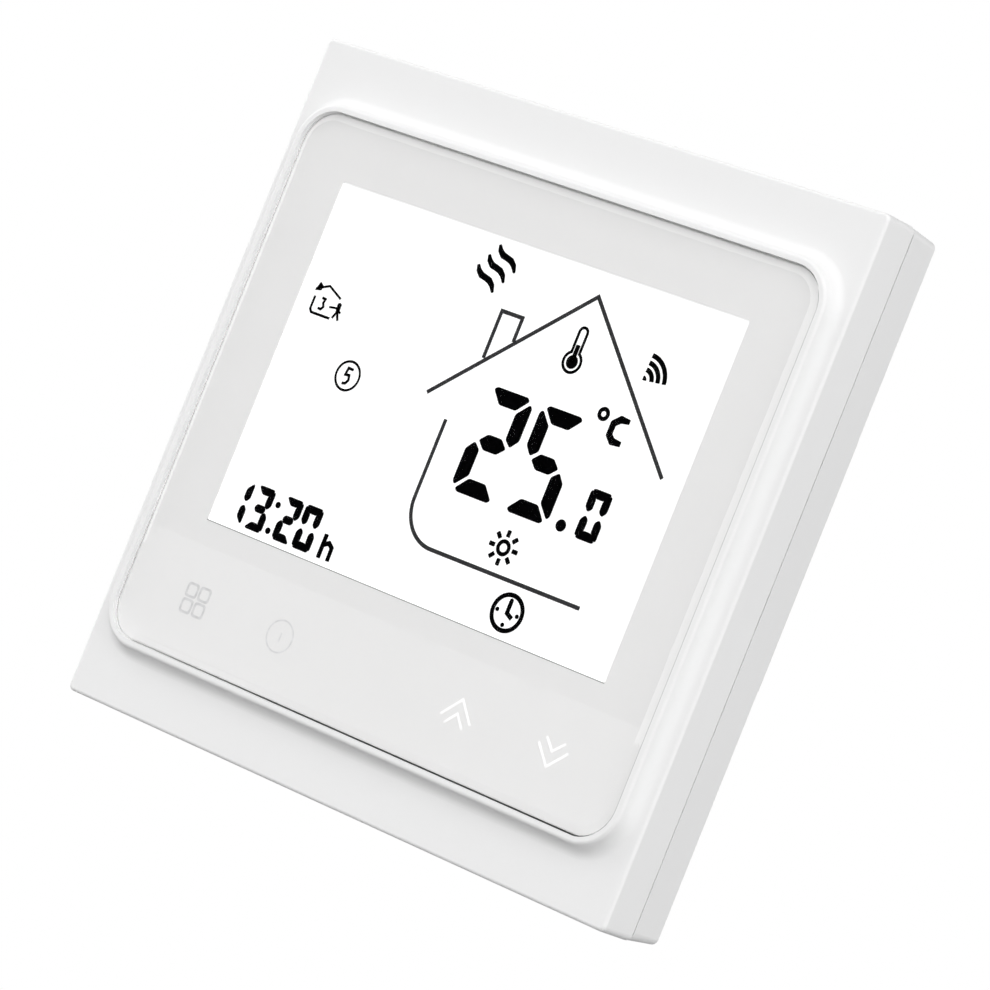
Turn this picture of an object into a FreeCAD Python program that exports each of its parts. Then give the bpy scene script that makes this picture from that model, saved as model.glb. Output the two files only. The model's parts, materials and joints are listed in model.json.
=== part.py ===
"""Flush-mounting wall thermostat, in millimetres.

The wall surface is the plane Y = 0.  The front faces -Y, +X is to the right of someone looking at it and
+Z is up.  The origin is the centre between the two wall screws.  Heights are measured from the wall towards
the viewer, so a height is -Y, and what stands inside the wall box has a negative height.

Three assemblies come apart towards the viewer: the power unit stays in the wall box, the outer frame lies
over its steel plate, and the front panel plugs in through the frame.
"""

import math
import os
import re

import FreeCAD
import Part
import Sketcher
from FreeCAD import Placement, Rotation, Vector

doc = FreeCAD.newDocument("wall_thermostat")
sheet = doc.addObject("Spreadsheet::Sheet", "sizes")

SIZES = {
    # face, seen from the front
    "face_size": 90.0,          # square outline at the parting line
    "front_draft": 0.15,        # by how much each side leans in over the bezel
    "rear_draft": 0.35,         # and over the outer frame
    "face_corner": 0.9,
    "frame_height": 5.9,        # parting line above the wall
    "part_gap": 0.2,            # shadow gap at the parting line
    "face_height": 11.9,        # flat face above the wall
    "face_thick": 1.6,
    "wall_thick": 1.8,
    "face_edge": 0.45,          # rounding round the flat face
    # raised ring round the lens
    "ridge_height": 2.0,
    "ridge_width": 0.95,
    "crest_round": 0.45,
    # lens and what is stuck behind it
    "lens_side": 3.7,           # from the edge of the face to the lens, left and right
    "lens_above": 9.3,          # and above and below
    "lens_corner": 4.6,
    "lens_thick": 1.1,
    "lens_gap": 0.2,
    "lens_below_crest": 0.12,
    "lens_bevel": 1.0,
    "lens_bevel_drop": 0.28,
    "glue_thick": 0.06,         # optical glue between the lens and the film
    "film_thick": 0.15,
    "film_inset": 0.15,
    "window_side": 8.5,         # from the edge of the lens to the window, left and right
    "window_ends": 12.8,        # and half of what is left above and below
    "window_rise": 4.85,        # centre of the display window above the centre of the face
    "tape_thick": 0.2,
    "tape_width": 2.6,
    # display
    "cell_side": 2.5,           # glass beyond the window, left and right
    "cell_ends": 2.6,
    "cell_gap": 0.3,
    "cell_plate": 1.4,          # each glass with its polariser
    "cell_ledge": 2.6,          # contact ledge of the front glass, at the bottom
    "cell_behind_film": 0.05,
    "cell_drop": 1.0,           # centre of the glass below the centre of the window
    "holder_rim": 1.5,
    "holder_corner": 1.0,
    "holder_floor": 0.6,
    "holder_clear": 0.05,
    "guide_behind_cell": 0.12,
    "guide_clear": 0.06,
    "guide_shift": 0.9,
    "guide_margin": 1.9,
    "led_thick": 0.9,
    "led_tall": 3.0,
    "led_pitch": 15.0,
    "zebra_wide": 1.6,
    "zebra_margin": 2.0,
    # touch keys
    "key_up": 7.5,              # keys above the bottom of the lens
    "key_inner": 14.8,
    "key_outer": 29.6,
    "key_hole": 3.9,
    "key_spring": 3.3,          # mean radius of a touch spring
    "key_wire": 0.22,
    "key_turns": 5.0,
    # control board
    "board_side": 6.0,          # from the edge of the face to the board
    "board_above": 9.0,
    "board_screw_in": 2.6,
    "board_screw_down": 2.4,
    "board_thick": 1.2,
    "board_corner": 1.0,
    "board_height": 6.9,        # front side of the board above the wall
    # rear cover of the front panel
    "cover_gap": 1.2,
    "cover_corner": 3.0,
    "cover_front": 4.4,
    "cover_thick": 1.4,
    "bay_beside": 1.0,          # between the bay and the room for the screw heads
    "bay_above": 6.0,
    "bay_corner": 3.0,
    "bay_back": 1.9,
    "bay_wall": 1.2,
    "bay_floor": 1.2,
    "cover_rim": 1.2,
    "cover_boss": 2.6,
    "head_slot_radius": 4.6,    # room for the heads of the wall screws
    "head_slot_length": 14.0,
    "boss_radius": 2.3,
    "pilot_radius": 0.86,
    "pilot_depth": 3.3,
    "boss_end": 5.8,            # end of the cover bosses above the wall
    "counterbore": 2.15,
    "counterbore_deep": 1.35,
    "tapping_radius": 0.83,     # thread of the self-tapping screws
    "tapping_head": 1.9,
    "tapping_head_tall": 1.2,
    "screw_clear": 0.35,
    "tongue_width": 8.0,
    "tongue_thick": 1.2,
    "tongue_barb": 0.5,
    "tongue_tip": 1.5,          # how far a tongue reaches behind the wall plane
    "tongue_x": 12.0,
    "tongue_in": 1.8,           # from the edge of the frame opening to the middle of a tongue
    "tongue_clear": 0.4,
    # outer frame
    "frame_floor": 1.5,
    "frame_lap": 2.0,           # how far the frame overlaps the plate
    "frame_opening_corner": 3.0,
    "frame_rib": 1.4,
    "frame_rib_clear": 0.4,
    "frame_off_wall": 0.2,
    "pry_width": 8.0,
    "pry_depth": 1.3,
    "vent_length": 6.0,
    "vent_tall": 1.1,
    "vent_pitch": 9.0,
    # steel mounting plate
    "plate_side": 8.0,          # from the edge of the face to the plate
    "plate_corner": 4.0,
    "plate_thick": 1.2,
    "plate_gap": 0.1,
    "plate_window_side": 6.5,   # from the side of the case to the window in the plate
    "plate_window_end": 3.0,
    "wall_screw_pitch": 60.0,
    "wall_slot_radius": 2.1,
    "wall_slot_length": 9.0,
    # power unit case, inside the wall box
    "case_width": 52.0,
    "case_tall": 48.0,
    "case_corner": 3.0,
    "case_wall": 1.5,
    "case_depth": 29.1,
    "case_screw_in": 3.0,
    "case_boss": 2.75,
    "case_boss_depth": 12.0,
    "case_screw_radius": 1.2,
    "case_screw_head": 2.3,
    "case_screw_long": 9.0,
    "lid_thick": 1.4,
    "power_board_depth": 2.6,   # front side of the power board behind the wall plane
    "power_board_thick": 1.6,
    "power_board_gap": 0.3,
    # plug between the two boards
    "plug_z": 17.5,
    "plug_pitch": 2.54,
    "plug_pins": 5,
    "plug_pin": 0.64,
    "plug_hole": 0.8,
    "plug_body_tall": 2.5,
    "socket_tall": 4.6,
    "plug_margin": 0.8,
    "pin_reach": 5.4,           # tip of the pins above the wall plane
    # terminals
    "pole_pitch": 6.35,
    "block_end": 0.4,
    "block_inset": 0.4,         # bottom of the block above the bottom of the case
    "block_gap": 0.2,
    "block_tall": 11.0,
    "block_thick": 14.0,
    "cage_width": 4.8,
    "cage_deep": 5.8,
    "cage_tall": 6.8,
    "cage_floor": 0.9,
    "cage_roof": 2.0,
    "cage_window": 3.0,
    "cage_clear": 0.15,
    "cage_travel": 2.5,
    "bar_thick": 0.9,
    "bar_width": 2.8,
    "screw_radius": 1.45,
    "screw_bore": 1.5,
    "screw_head": 2.25,
    "screw_head_tall": 1.6,
    "driver_hole": 1.95,
    "driver_slot": 0.7,
    "driver_slot_deep": 0.8,
    # relay
    "relay_side": 2.6,          # from the side of the case
    "relay_gap": 0.35,
    "relay_long": 29.0,
    "relay_wide": 12.7,
    "relay_tall": 15.6,
    "relay_wall": 0.7,
    "relay_base": 2.0,
    "yoke_thick": 1.2,
    "yoke_wide": 9.0,
    "core_radius": 2.0,
    "coil_radius": 4.6,
    "coil_flange": 5.3,
    "armature_thick": 1.2,
    "armature_long": 12.9,
    "armature_gap": 0.55,
    "blade_thick": 0.2,
    "button_radius": 1.2,
}


# What follows from the sizes, as formulas over them. A height is measured from the wall.
DERIVED = {
    "lens_width": "face_size - 2 * lens_side",
    "lens_tall": "face_size - 2 * lens_above",
    "lens_front": "face_height + ridge_height - lens_below_crest",
    "lens_back": "lens_front - lens_thick",
    "film_front": "lens_back - glue_thick",
    "tape_front": "film_front - film_thick",
    "pocket_floor": "tape_front - tape_thick",
    "ridge_sweep": "0.96 * (ridge_height - crest_round)",
    "ceiling": "face_height - face_thick",
    "panel_rear": "frame_height + part_gap",
    "window_width": "lens_width - 2 * window_side",
    "window_tall": "lens_tall - 2 * window_ends",
    "cell_width": "window_width + 2 * cell_side",
    "cell_tall": "window_tall + 2 * cell_ends",
    "cell_front": "tape_front - cell_behind_film",
    "cell_middle": "cell_front - cell_plate",
    "cell_back": "cell_middle - cell_plate",
    "cell_z": "window_rise - cell_drop",
    "guide_thick": "cell_back - guide_behind_cell - board_height - holder_floor",
    "cell_low": "cell_z - cell_tall / 2",
    "key_drop": "lens_tall / 2 - key_up",
    "board_width": "face_size - 2 * board_side",
    "board_tall": "face_size - 2 * board_above",
    "board_back": "board_height - board_thick",
    "board_screw_x": "board_width / 2 - board_screw_in",
    "board_screw_z": "board_tall / 2 - board_screw_down",
    "cover_size": "face_size - 2 * wall_thick - 2 * cover_gap",
    "cover_back": "cover_front - cover_thick",
    "cover_screw_at": "cover_size / 2 - cover_boss",
    "bay_width": "wall_screw_pitch - head_slot_length - 2 * bay_beside",
    "bay_tall": "frame_opening - 2 * bay_above",
    "tongue_z": "frame_opening / 2 - tongue_in",
    "floor_back": "plate_thick + plate_gap",
    "floor_front": "floor_back + frame_floor",
    "plate_size": "face_size - 2 * plate_side",
    "frame_opening": "plate_size - 2 * frame_lap",
    "plate_window_width": "case_width - 2 * plate_window_side",
    "plate_window_tall": "case_tall - 2 * plate_window_end",
    "case_screw_x": "case_width / 2 - case_screw_in",
    "case_screw_z": "case_tall / 2 - case_screw_in",
    "case_step": "block_thick - block_front + block_gap",
    "block_front": "-(power_board_depth + power_board_thick)",
    "block_wide": "6 * pole_pitch + 2 * block_end",
    "block_low": "block_inset - case_tall / 2",
    "block_z": "block_low + block_tall / 2",
    "step_z": "block_low + block_tall + block_gap",
    "cage_front": "block_front - 1.4",
    "cage_z": "block_low + 2 + cage_deep / 2",
    "roof_front": "cage_front - cage_tall + cage_roof",
    "bar_front": "roof_front + bar_thick + 0.1",
    "head_front": "cage_front - cage_tall - cage_travel - 0.2",
    "relay_left": "relay_side - case_width / 2",
    "relay_x": "relay_left + relay_long / 2",
    "relay_z": "step_z + case_wall + relay_gap + relay_wide / 2",
    "relay_floor": "block_front - relay_base",
    "coil_height": "relay_floor - coil_flange - 0.3",
    "yoke_height": "coil_height - coil_flange - 0.3",
    "yoke_x": "relay_left + relay_wall + 0.4",
    "pole_x": "yoke_x + yoke_thick + 14.2",
    "armature_x": "pole_x + armature_gap",
    "blade_x": "armature_x + armature_thick",
    "button_x": "blade_x + 8",
}


def fill_sheet():
    for row, (alias, value) in enumerate(SIZES.items(), start=1):
        sheet.set(f"A{row}", alias)
        sheet.set(f"B{row}", str(value))
        sheet.setAlias(f"B{row}", alias)
    doc.recompute()


def in_sheet(formula):
    """A formula over the sizes, in the form that setExpression reads."""
    def expand(match):
        word = match[0]
        if word in DERIVED:
            return f"({in_sheet(DERIVED[word])})"
        return f"sizes.{word}" if word in SIZES else word
    return re.sub(r"[a-z_]+", expand, str(formula))


def bind(piece, prop, formula):
    piece.setExpression(prop, in_sheet(formula))


def put(piece, x=0, y=0, z=0):
    for axis, formula in (("x", x), ("y", y), ("z", z)):
        bind(piece, f"Placement.Base.{axis}", formula)
    return piece


# ---------------------------------------------------------------- Part primitives and booleans

def block(wide, tall, thick, x=0, z=0, front=0):
    """A box centred on X = x and Z = z, whose front face is at height front and which reaches thick behind it."""
    piece = doc.addObject("Part::Box", "block")
    bind(piece, "Length", wide)
    bind(piece, "Width", thick)
    bind(piece, "Height", tall)
    return put(piece, f"({x}) - ({wide}) / 2", f"-({front})", f"({z}) - ({tall}) / 2")


def rod(radius, length, x=0, z=0, front=0):
    """A cylinder square to the wall, from height front to length behind it."""
    piece = doc.addObject("Part::Cylinder", "rod")
    bind(piece, "Radius", radius)
    bind(piece, "Height", length)
    piece.Placement = Placement(Vector(), Rotation(Vector(1, 0, 0), -90))
    return put(piece, x, f"-({front})", z)


def cone(front_radius, back_radius, length, x=0, z=0, front=0):
    piece = doc.addObject("Part::Cone", "cone")
    bind(piece, "Radius1", front_radius)
    bind(piece, "Radius2", back_radius)
    bind(piece, "Height", length)
    piece.Placement = Placement(Vector(), Rotation(Vector(1, 0, 0), -90))
    return put(piece, x, f"-({front})", z)


def lying_rod(radius, length, x, z, front, along):
    """A cylinder parallel to the wall, along X or Z, centred on (x, z)."""
    piece = doc.addObject("Part::Cylinder", "lying_rod")
    bind(piece, "Radius", radius)
    bind(piece, "Height", length)
    if along == "X":
        piece.Placement = Placement(Vector(), Rotation(Vector(0, 1, 0), 90))
        return put(piece, f"({x}) - ({length}) / 2", f"-({front})", z)
    return put(piece, x, f"-({front})", f"({z}) - ({length}) / 2")


def joined(pieces):
    piece = doc.addObject("Part::MultiFuse", "joined")
    piece.Shapes = pieces
    piece.Refine = True
    return piece


def cut(base, tools):
    piece = doc.addObject("Part::Cut", "cut")
    piece.Base = base
    piece.Tool = tools[0] if len(tools) == 1 else joined(tools)
    return piece


def together(pieces):
    """Separate solids that share one name, such as a set of screws."""
    piece = doc.addObject("Part::Compound", "together")
    piece.Links = pieces
    return piece


parts = {}


def named(label, piece):
    piece.Label = label
    parts[label] = piece
    return piece


# ---------------------------------------------------------------- PartDesign bodies

class Shell:
    """A PartDesign body whose sketches lie parallel to the wall, or to another base plane."""

    def __init__(self, label):
        self.body = doc.addObject("PartDesign::Body", label)
        self.volume = 0.0
        named(label, self.body)

    def sketch(self, height, x=0, z=0, plane="XZ_Plane"):
        drawing = self.body.newObject("Sketcher::SketchObject", "outline")
        base = next(o for o in self.body.Origin.OriginFeatures if o.Role == plane)
        drawing.AttachmentSupport = (base, [""])
        drawing.MapMode = "FlatFace"
        for axis, formula in (("x", x), ("y", z), ("z", height)):
            bind(drawing, f"AttachmentOffset.Base.{axis}", formula)
        return drawing

    def settle(self, feature, grows):
        """Rebuilds the body and makes sure that the feature added or removed material."""
        doc.recompute()
        volume = feature.Shape.Volume
        if not (volume > self.volume + 1e-4 if grows else volume < self.volume - 1e-4):
            raise ValueError(f"{self.body.Label}: {feature.Name} changes nothing")
        self.volume = volume
        return feature

    def pad(self, drawing, length, forward=True, taper=None):
        """Adds material from the sketch towards the viewer, or towards the wall if forward is False."""
        feature = self.body.newObject("PartDesign::Pad", "Pad")
        feature.Profile = drawing
        bind(feature, "Length", length)
        feature.Reversed = not forward
        if taper:
            bind(feature, "TaperAngle", taper)
        return self.settle(feature, grows=True)

    def pocket(self, drawing, depth, forward=False):
        """Removes material from the sketch towards the wall, or towards the viewer if forward is True."""
        feature = self.body.newObject("PartDesign::Pocket", "Pocket")
        feature.Profile = drawing
        bind(feature, "Length", depth)
        feature.Reversed = forward
        return self.settle(feature, grows=False)

    def dress(self, kind, chosen, **sizes):
        """A fillet or chamfer on the edges that chosen picks. A chamfer or an outer fillet removes material."""
        base = self.body.Tip
        names = [f"Edge{n}" for n, picked in enumerate(chosen(base.Shape), start=1) if picked]
        feature = self.body.newObject(f"PartDesign::{kind}", kind)
        feature.Base = (base, names)
        if kind == "Chamfer" and "Size2" in sizes:
            feature.ChamferType = "Two distances"
        for prop, formula in sizes.items():
            bind(feature, prop, formula)
        doc.recompute()
        self.volume = feature.Shape.Volume
        return feature


def constrain(drawing, name, constraint, formula):
    drawing.renameConstraint(drawing.addConstraint(constraint), name)
    bind(drawing, f"Constraints.{name}", formula)


def add_outline(drawing, wide, tall, corner, tag=""):
    """A rounded rectangle round the sketch's origin."""
    x, y, r = 10.0, 8.0, 1.0
    first = drawing.GeometryCount
    straight = [
        ((-x + r, -y), (x - r, -y)),
        ((x, -y + r), (x, y - r)),
        ((x - r, y), (-x + r, y)),
        ((-x, y - r), (-x, -y + r)),
    ]
    turns = [(x - r, -y + r, -90), (x - r, y - r, 0), (-x + r, y - r, 90), (-x + r, -y + r, 180)]
    lines = [Part.LineSegment(Vector(*a, 0), Vector(*b, 0)) for a, b in straight]
    arcs = [
        Part.ArcOfCircle(Part.Circle(Vector(cx, cy, 0), Vector(0, 0, 1), r), math.radians(a), math.radians(a + 90))
        for cx, cy, a in turns
    ]
    drawing.addGeometry(lines + arcs, False)
    line, arc = range(first, first + 4), range(first + 4, first + 8)
    rules = []
    for n in range(4):
        rules.append(Sketcher.Constraint("Tangent", line[n], 2, arc[n], 1))
        rules.append(Sketcher.Constraint("Tangent", arc[n], 2, line[(n + 1) % 4], 1))
    rules += [Sketcher.Constraint("Horizontal", line[n]) for n in (0, 2)]
    rules += [Sketcher.Constraint("Vertical", line[n]) for n in (1, 3)]
    rules += [Sketcher.Constraint("Equal", arc[0], arc[n]) for n in (1, 2, 3)]
    rules.append(Sketcher.Constraint("Symmetric", line[0], 1, line[2], 1, -1, 1))
    drawing.addConstraint(rules)
    constrain(drawing, f"width{tag}", Sketcher.Constraint("DistanceX", line[3], 1, line[1], 1, 2 * x), wide)
    constrain(drawing, f"height{tag}", Sketcher.Constraint("DistanceY", line[0], 1, line[2], 1, 2 * y), tall)
    constrain(drawing, f"corner{tag}", Sketcher.Constraint("Radius", arc[0], r), corner)
    return drawing


def add_rectangle(drawing, wide, tall, x=0, y=0, tag=""):
    """A sharp rectangle centred on (x, y) of the sketch."""
    first = drawing.GeometryCount
    points = [(-5, -4), (5, -4), (5, 4), (-5, 4)]
    drawing.addGeometry(
        [Part.LineSegment(Vector(*points[n], 0), Vector(*points[(n + 1) % 4], 0)) for n in range(4)], False
    )
    rules = [Sketcher.Constraint("Coincident", first + n, 2, first + (n + 1) % 4, 1) for n in range(4)]
    rules += [Sketcher.Constraint("Horizontal", first + n) for n in (0, 2)]
    rules += [Sketcher.Constraint("Vertical", first + n) for n in (1, 3)]
    drawing.addConstraint(rules)
    constrain(drawing, f"width{tag}", Sketcher.Constraint("DistanceX", first, 1, first, 2, 10.0), wide)
    constrain(drawing, f"height{tag}", Sketcher.Constraint("DistanceY", first + 1, 1, first + 1, 2, 8.0), tall)
    left, low = f"({x}) - ({wide}) / 2", f"({y}) - ({tall}) / 2"
    constrain(drawing, f"left{tag}", Sketcher.Constraint("DistanceX", -1, 1, first, 1, -5.0), left)
    constrain(drawing, f"low{tag}", Sketcher.Constraint("DistanceY", -1, 1, first, 1, -4.0), low)
    return drawing


def add_circle(drawing, radius, x=0, y=0, tag=""):
    n = drawing.addGeometry(Part.Circle(Vector(3, 2, 0), Vector(0, 0, 1), 1.0), False)
    constrain(drawing, f"radius{tag}", Sketcher.Constraint("Radius", n, 1.0), radius)
    constrain(drawing, f"across{tag}", Sketcher.Constraint("DistanceX", -1, 1, n, 3, 3.0), x)
    constrain(drawing, f"up{tag}", Sketcher.Constraint("DistanceY", -1, 1, n, 3, 2.0), y)
    return drawing


def add_slot(drawing, radius, length):
    """A slot with round ends along the sketch's X, centred on its origin."""
    half, r = 4.0, 1.5
    ends = [
        Part.ArcOfCircle(Part.Circle(Vector(side * (half - r), 0, 0), Vector(0, 0, 1), r), start, start + math.pi)
        for side, start in ((1, -math.pi / 2), (-1, math.pi / 2))
    ]
    sides = [
        Part.LineSegment(Vector(half - r, r, 0), Vector(-half + r, r, 0)),
        Part.LineSegment(Vector(-half + r, -r, 0), Vector(half - r, -r, 0)),
    ]
    drawing.addGeometry(ends + sides, False)
    right, left, top, low = range(4)
    drawing.addConstraint(
        [
            Sketcher.Constraint("Tangent", right, 2, top, 1),
            Sketcher.Constraint("Tangent", top, 2, left, 1),
            Sketcher.Constraint("Tangent", left, 2, low, 1),
            Sketcher.Constraint("Tangent", low, 2, right, 1),
            Sketcher.Constraint("Equal", right, left),
            Sketcher.Constraint("Symmetric", right, 3, left, 3, -1, 1),
            Sketcher.Constraint("Horizontal", top),
        ]
    )
    constrain(drawing, "radius", Sketcher.Constraint("Radius", right, r), radius)
    reach = Sketcher.Constraint("DistanceX", left, 3, right, 3, 2 * (half - r))
    constrain(drawing, "reach", reach, f"({length}) - 2 * ({radius})")
    return drawing


def corners(x, z):
    """The four points (+-x, +-z), with a tag for each."""
    signs = [(i, j) for i in (-1, 1) for j in (-1, 1)]
    return [(f"{i} * ({x})", f"{j} * ({z})", f"_{n}") for n, (i, j) in enumerate(signs)]


def flat_at(height):
    """Picks the edges that lie wholly at one height."""
    def chosen(shape):
        level = [edge.BoundBox for edge in shape.Edges]
        return [max(abs(box.YMin + height), abs(box.YMax + height)) < 1e-3 for box in level]
    return chosen


def round_holes_at(height):
    """Picks the full circles at one height."""
    def chosen(shape):
        pairs = zip(flat_at(height)(shape), shape.Edges, strict=True)
        return [level and edge.isClosed() for level, edge in pairs]
    return chosen


def rim_at(height, outer=True):
    """Picks the outer rim of the flat face at one height, or else the rims of the openings in it."""
    def chosen(shape):
        at_height = [f for f in shape.Faces if abs(f.BoundBox.YMin + height) < 1e-3 and f.BoundBox.YLength < 1e-3]
        wires = [w for f in at_height for w in f.Wires if w.isSame(f.OuterWire) == outer]
        wanted = [edge for wire in wires for edge in wire.Edges]
        return [any(edge.isSame(other) for other in wanted) for edge in shape.Edges]
    return chosen


# ---------------------------------------------------------------- front panel

KEYS = (("-key_outer", "_menu"), ("-key_inner", "_power"), ("key_inner", "_up"), ("key_outer", "_down"))

def make_touch_lens():
    shell = Shell("touch_lens")
    shell.pad(add_outline(shell.sketch("lens_back"), "lens_width", "lens_tall", "lens_corner"), "lens_thick")
    front = SIZES["face_height"] + SIZES["ridge_height"] - SIZES["lens_below_crest"]
    shell.dress("Chamfer", rim_at(front), Size="lens_bevel_drop", Size2="lens_bevel")


def make_mask_film():
    shell = Shell("mask_film")
    wide, tall = "lens_width - 2 * film_inset", "lens_tall - 2 * film_inset"
    shell.pad(add_outline(shell.sketch("tape_front"), wide, tall, "lens_corner - film_inset"), "film_thick")
    window = add_outline(shell.sketch("film_front", z="window_rise"), "window_width", "window_tall", 0.3)
    shell.pocket(window, "film_thick")


def make_lens_tape():
    shell = Shell("lens_tape")
    ring = shell.sketch("pocket_floor")
    add_outline(ring, "lens_width - 2 * film_inset", "lens_tall - 2 * film_inset", "lens_corner - film_inset")
    wide, tall = "lens_width - 2 * tape_width", "lens_tall - 2 * tape_width"
    add_outline(ring, wide, tall, "lens_corner - tape_width", tag="_inner")
    shell.pad(ring, "tape_thick")


def shape_face(shell):
    """The drafted square face with the ring round the lens."""
    outline = add_outline(shell.sketch("panel_rear"), "face_size", "face_size", "face_corner")
    shell.pad(outline, "face_height - panel_rear", taper="-atan(front_draft / (face_height - panel_rear))")
    reach = "2 * (lens_gap + ridge_width)"
    foot = shell.sketch("face_height")
    add_outline(foot, f"lens_width + {reach}", f"lens_tall + {reach}", "lens_corner + lens_gap + ridge_width")
    shell.pad(foot, "ridge_height")
    pocket = shell.sketch("face_height + ridge_height")
    add_outline(pocket, "lens_width + 2 * lens_gap", "lens_tall + 2 * lens_gap", "lens_corner + lens_gap")
    shell.pocket(pocket, "face_height + ridge_height - pocket_floor")
    face = SIZES["face_height"]
    crest = face + SIZES["ridge_height"]
    shell.dress("Fillet", rim_at(crest), Radius="crest_round")
    shell.dress("Fillet", rim_at(face, outer=False), Radius="ridge_sweep")
    shell.dress("Fillet", rim_at(face), Radius="face_edge")


def make_front_bezel():
    shell = Shell("front_bezel")
    shape_face(shell)
    cavity = "face_size - 2 * wall_thick"
    shell.pocket(add_outline(shell.sketch("panel_rear"), cavity, cavity, 1.0), "ceiling - panel_rear", forward=True)
    opening = shell.sketch("pocket_floor", z="cell_z")
    add_outline(opening, "cell_width + 2 * cell_gap", "cell_tall + 2 * cell_gap", 0.5)
    shell.pocket(opening, "pocket_floor - ceiling")
    holes = shell.sketch("pocket_floor")
    for x, tag in KEYS:
        add_circle(holes, "key_hole", x, "-key_drop", tag)
    shell.pocket(holes, "pocket_floor - ceiling")
    for x, z, end in (("cover_screw_at", "cover_screw_at", "boss_end"), ("board_screw_x", "board_screw_z", "board_height")):
        bosses, pilots = shell.sketch("ceiling"), shell.sketch(end)
        for cx, cz, tag in corners(x, z):
            add_circle(bosses, "boss_radius", cx, cz, tag)
            add_circle(pilots, "pilot_radius", cx, cz, tag)
        shell.pad(bosses, f"ceiling - {end}", forward=False)
        shell.pocket(pilots, "pilot_depth", forward=True)


def make_display():
    glass = block("cell_width", "cell_tall", "cell_plate", 0, "cell_z", "cell_front")
    rear_z = "cell_z + cell_ledge / 2"
    rear = block("cell_width", "cell_tall - cell_ledge", "cell_plate", 0, rear_z, "cell_middle")
    named("display_cell", joined([glass, rear]))
    front = "board_height + holder_floor + guide_thick"
    wide = "cell_width - 2 * guide_margin"
    tall = "cell_tall - cell_ledge - 2 * guide_margin"
    named("light_guide", block(wide, tall, "guide_thick", "guide_shift", rear_z, front))
    x = "guide_shift - cell_width / 2 + guide_margin - guide_clear - led_thick / 2"
    leds = [
        block("led_thick", "led_tall", "guide_thick", x, f"{rear_z} + {n} * led_pitch", front) for n in (-1, 0, 1)
    ]
    named("backlight_leds", together(leds))
    zebra_z = "cell_low + cell_ledge / 2"
    depth = "cell_middle - board_height"
    named("zebra_strip", block("cell_width - 2 * zebra_margin", "zebra_wide", depth, 0, zebra_z, "cell_middle"))


def make_display_holder():
    shell = Shell("display_holder")
    outer = shell.sketch("board_height", z="cell_z")
    wide, tall = "cell_width + 2 * (cell_gap + holder_rim)", "cell_tall + 2 * (cell_gap + holder_rim)"
    add_outline(outer, wide, tall, "holder_corner")
    shell.pad(outer, "ceiling - board_height - holder_clear")
    inner = shell.sketch("board_height + holder_floor", z="cell_z")
    add_outline(inner, "cell_width + 2 * cell_gap", "cell_tall + 2 * cell_gap", 0.5)
    shell.pocket(inner, "ceiling - board_height", forward=True)
    slot = shell.sketch("board_height + holder_floor", z="cell_low + cell_ledge / 2")
    add_rectangle(slot, "cell_width - 2 * zebra_margin + 0.4", "zebra_wide + 0.4")
    shell.pocket(slot, "holder_floor")


def make_control_board():
    shell = Shell("control_board")
    outline = shell.sketch("board_back")
    add_outline(outline, "board_width", "board_tall", "board_corner")
    for x, z, tag in corners("board_screw_x", "board_screw_z"):
        add_circle(outline, "tapping_radius + screw_clear / 2", x, z, tag)
    shell.pad(outline, "board_thick")


def tapping_screw(x, z, seat, length):
    """A pan-head tapping screw put in from behind: its head is behind seat and its tip in front."""
    shank = rod("tapping_radius", length, x, z, f"{seat} + {length}")
    head = rod("tapping_head", "tapping_head_tall", x, z, seat)
    cross = [block(1.7, 0.35, 0.6, x, z, f"{seat} - tapping_head_tall + 0.6")]
    cross.append(block(0.35, 1.7, 0.6, x, z, f"{seat} - tapping_head_tall + 0.6"))
    return cut(joined([shank, head]), cross)


def make_panel_screws():
    board = [tapping_screw(x, z, "board_back", 4.2) for x, z, _ in corners("board_screw_x", "board_screw_z")]
    named("board_screws", together(board))
    seat = "(cover_back + counterbore_deep)"
    cover = [tapping_screw(x, z, seat, 4.6) for x, z, _ in corners("cover_screw_at", "cover_screw_at")]
    named("cover_screws", together(cover))


def key_spring(x):
    """A touch spring between the control board and the film, with its axis square to the wall."""
    coil = doc.addObject("Part::Helix", "coil")
    run = "(tape_front - board_height - 2 * key_wire)"
    bind(coil, "Pitch", f"{run} / key_turns")
    bind(coil, "Height", run)
    bind(coil, "Radius", "key_spring")
    coil.Placement = Placement(Vector(), Rotation(Vector(1, 0, 0), 90))
    put(coil, x, "-(board_height + key_wire)", "-key_drop")
    wire = doc.addObject("Part::Circle", "wire")
    bind(wire, "Radius", "key_wire")
    put(wire, f"{x} + key_spring", "-(board_height + key_wire)", "-key_drop")
    spring = doc.addObject("Part::Sweep", "spring")
    spring.Sections = [wire]
    spring.Spine = (coil, ["Edge1"])
    spring.Solid = True
    spring.Frenet = True
    return spring


def make_control_parts():
    named("touch_springs", together([key_spring(x) for x, _ in KEYS]))
    named("mcu_chip", block(12, 12, 1.4, -9.5, -4.5, "board_back"))
    carrier = block(16, 24, 0.8, 10.5, -8, "board_back")
    shield = block(14.4, 17.2, 1.6, 10.5, -4.9, "board_back - 0.8")
    named("wifi_module", joined([carrier, shield]))
    named("touch_chip", block(9.9, 3.9, 1.5, -10, -18.5, "board_back"))
    named("clock_crystal", block(7.6, 3.4, 2.2, -10.5, 9, "board_back"))
    make_room_sensor()
    make_small_parts()


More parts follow.
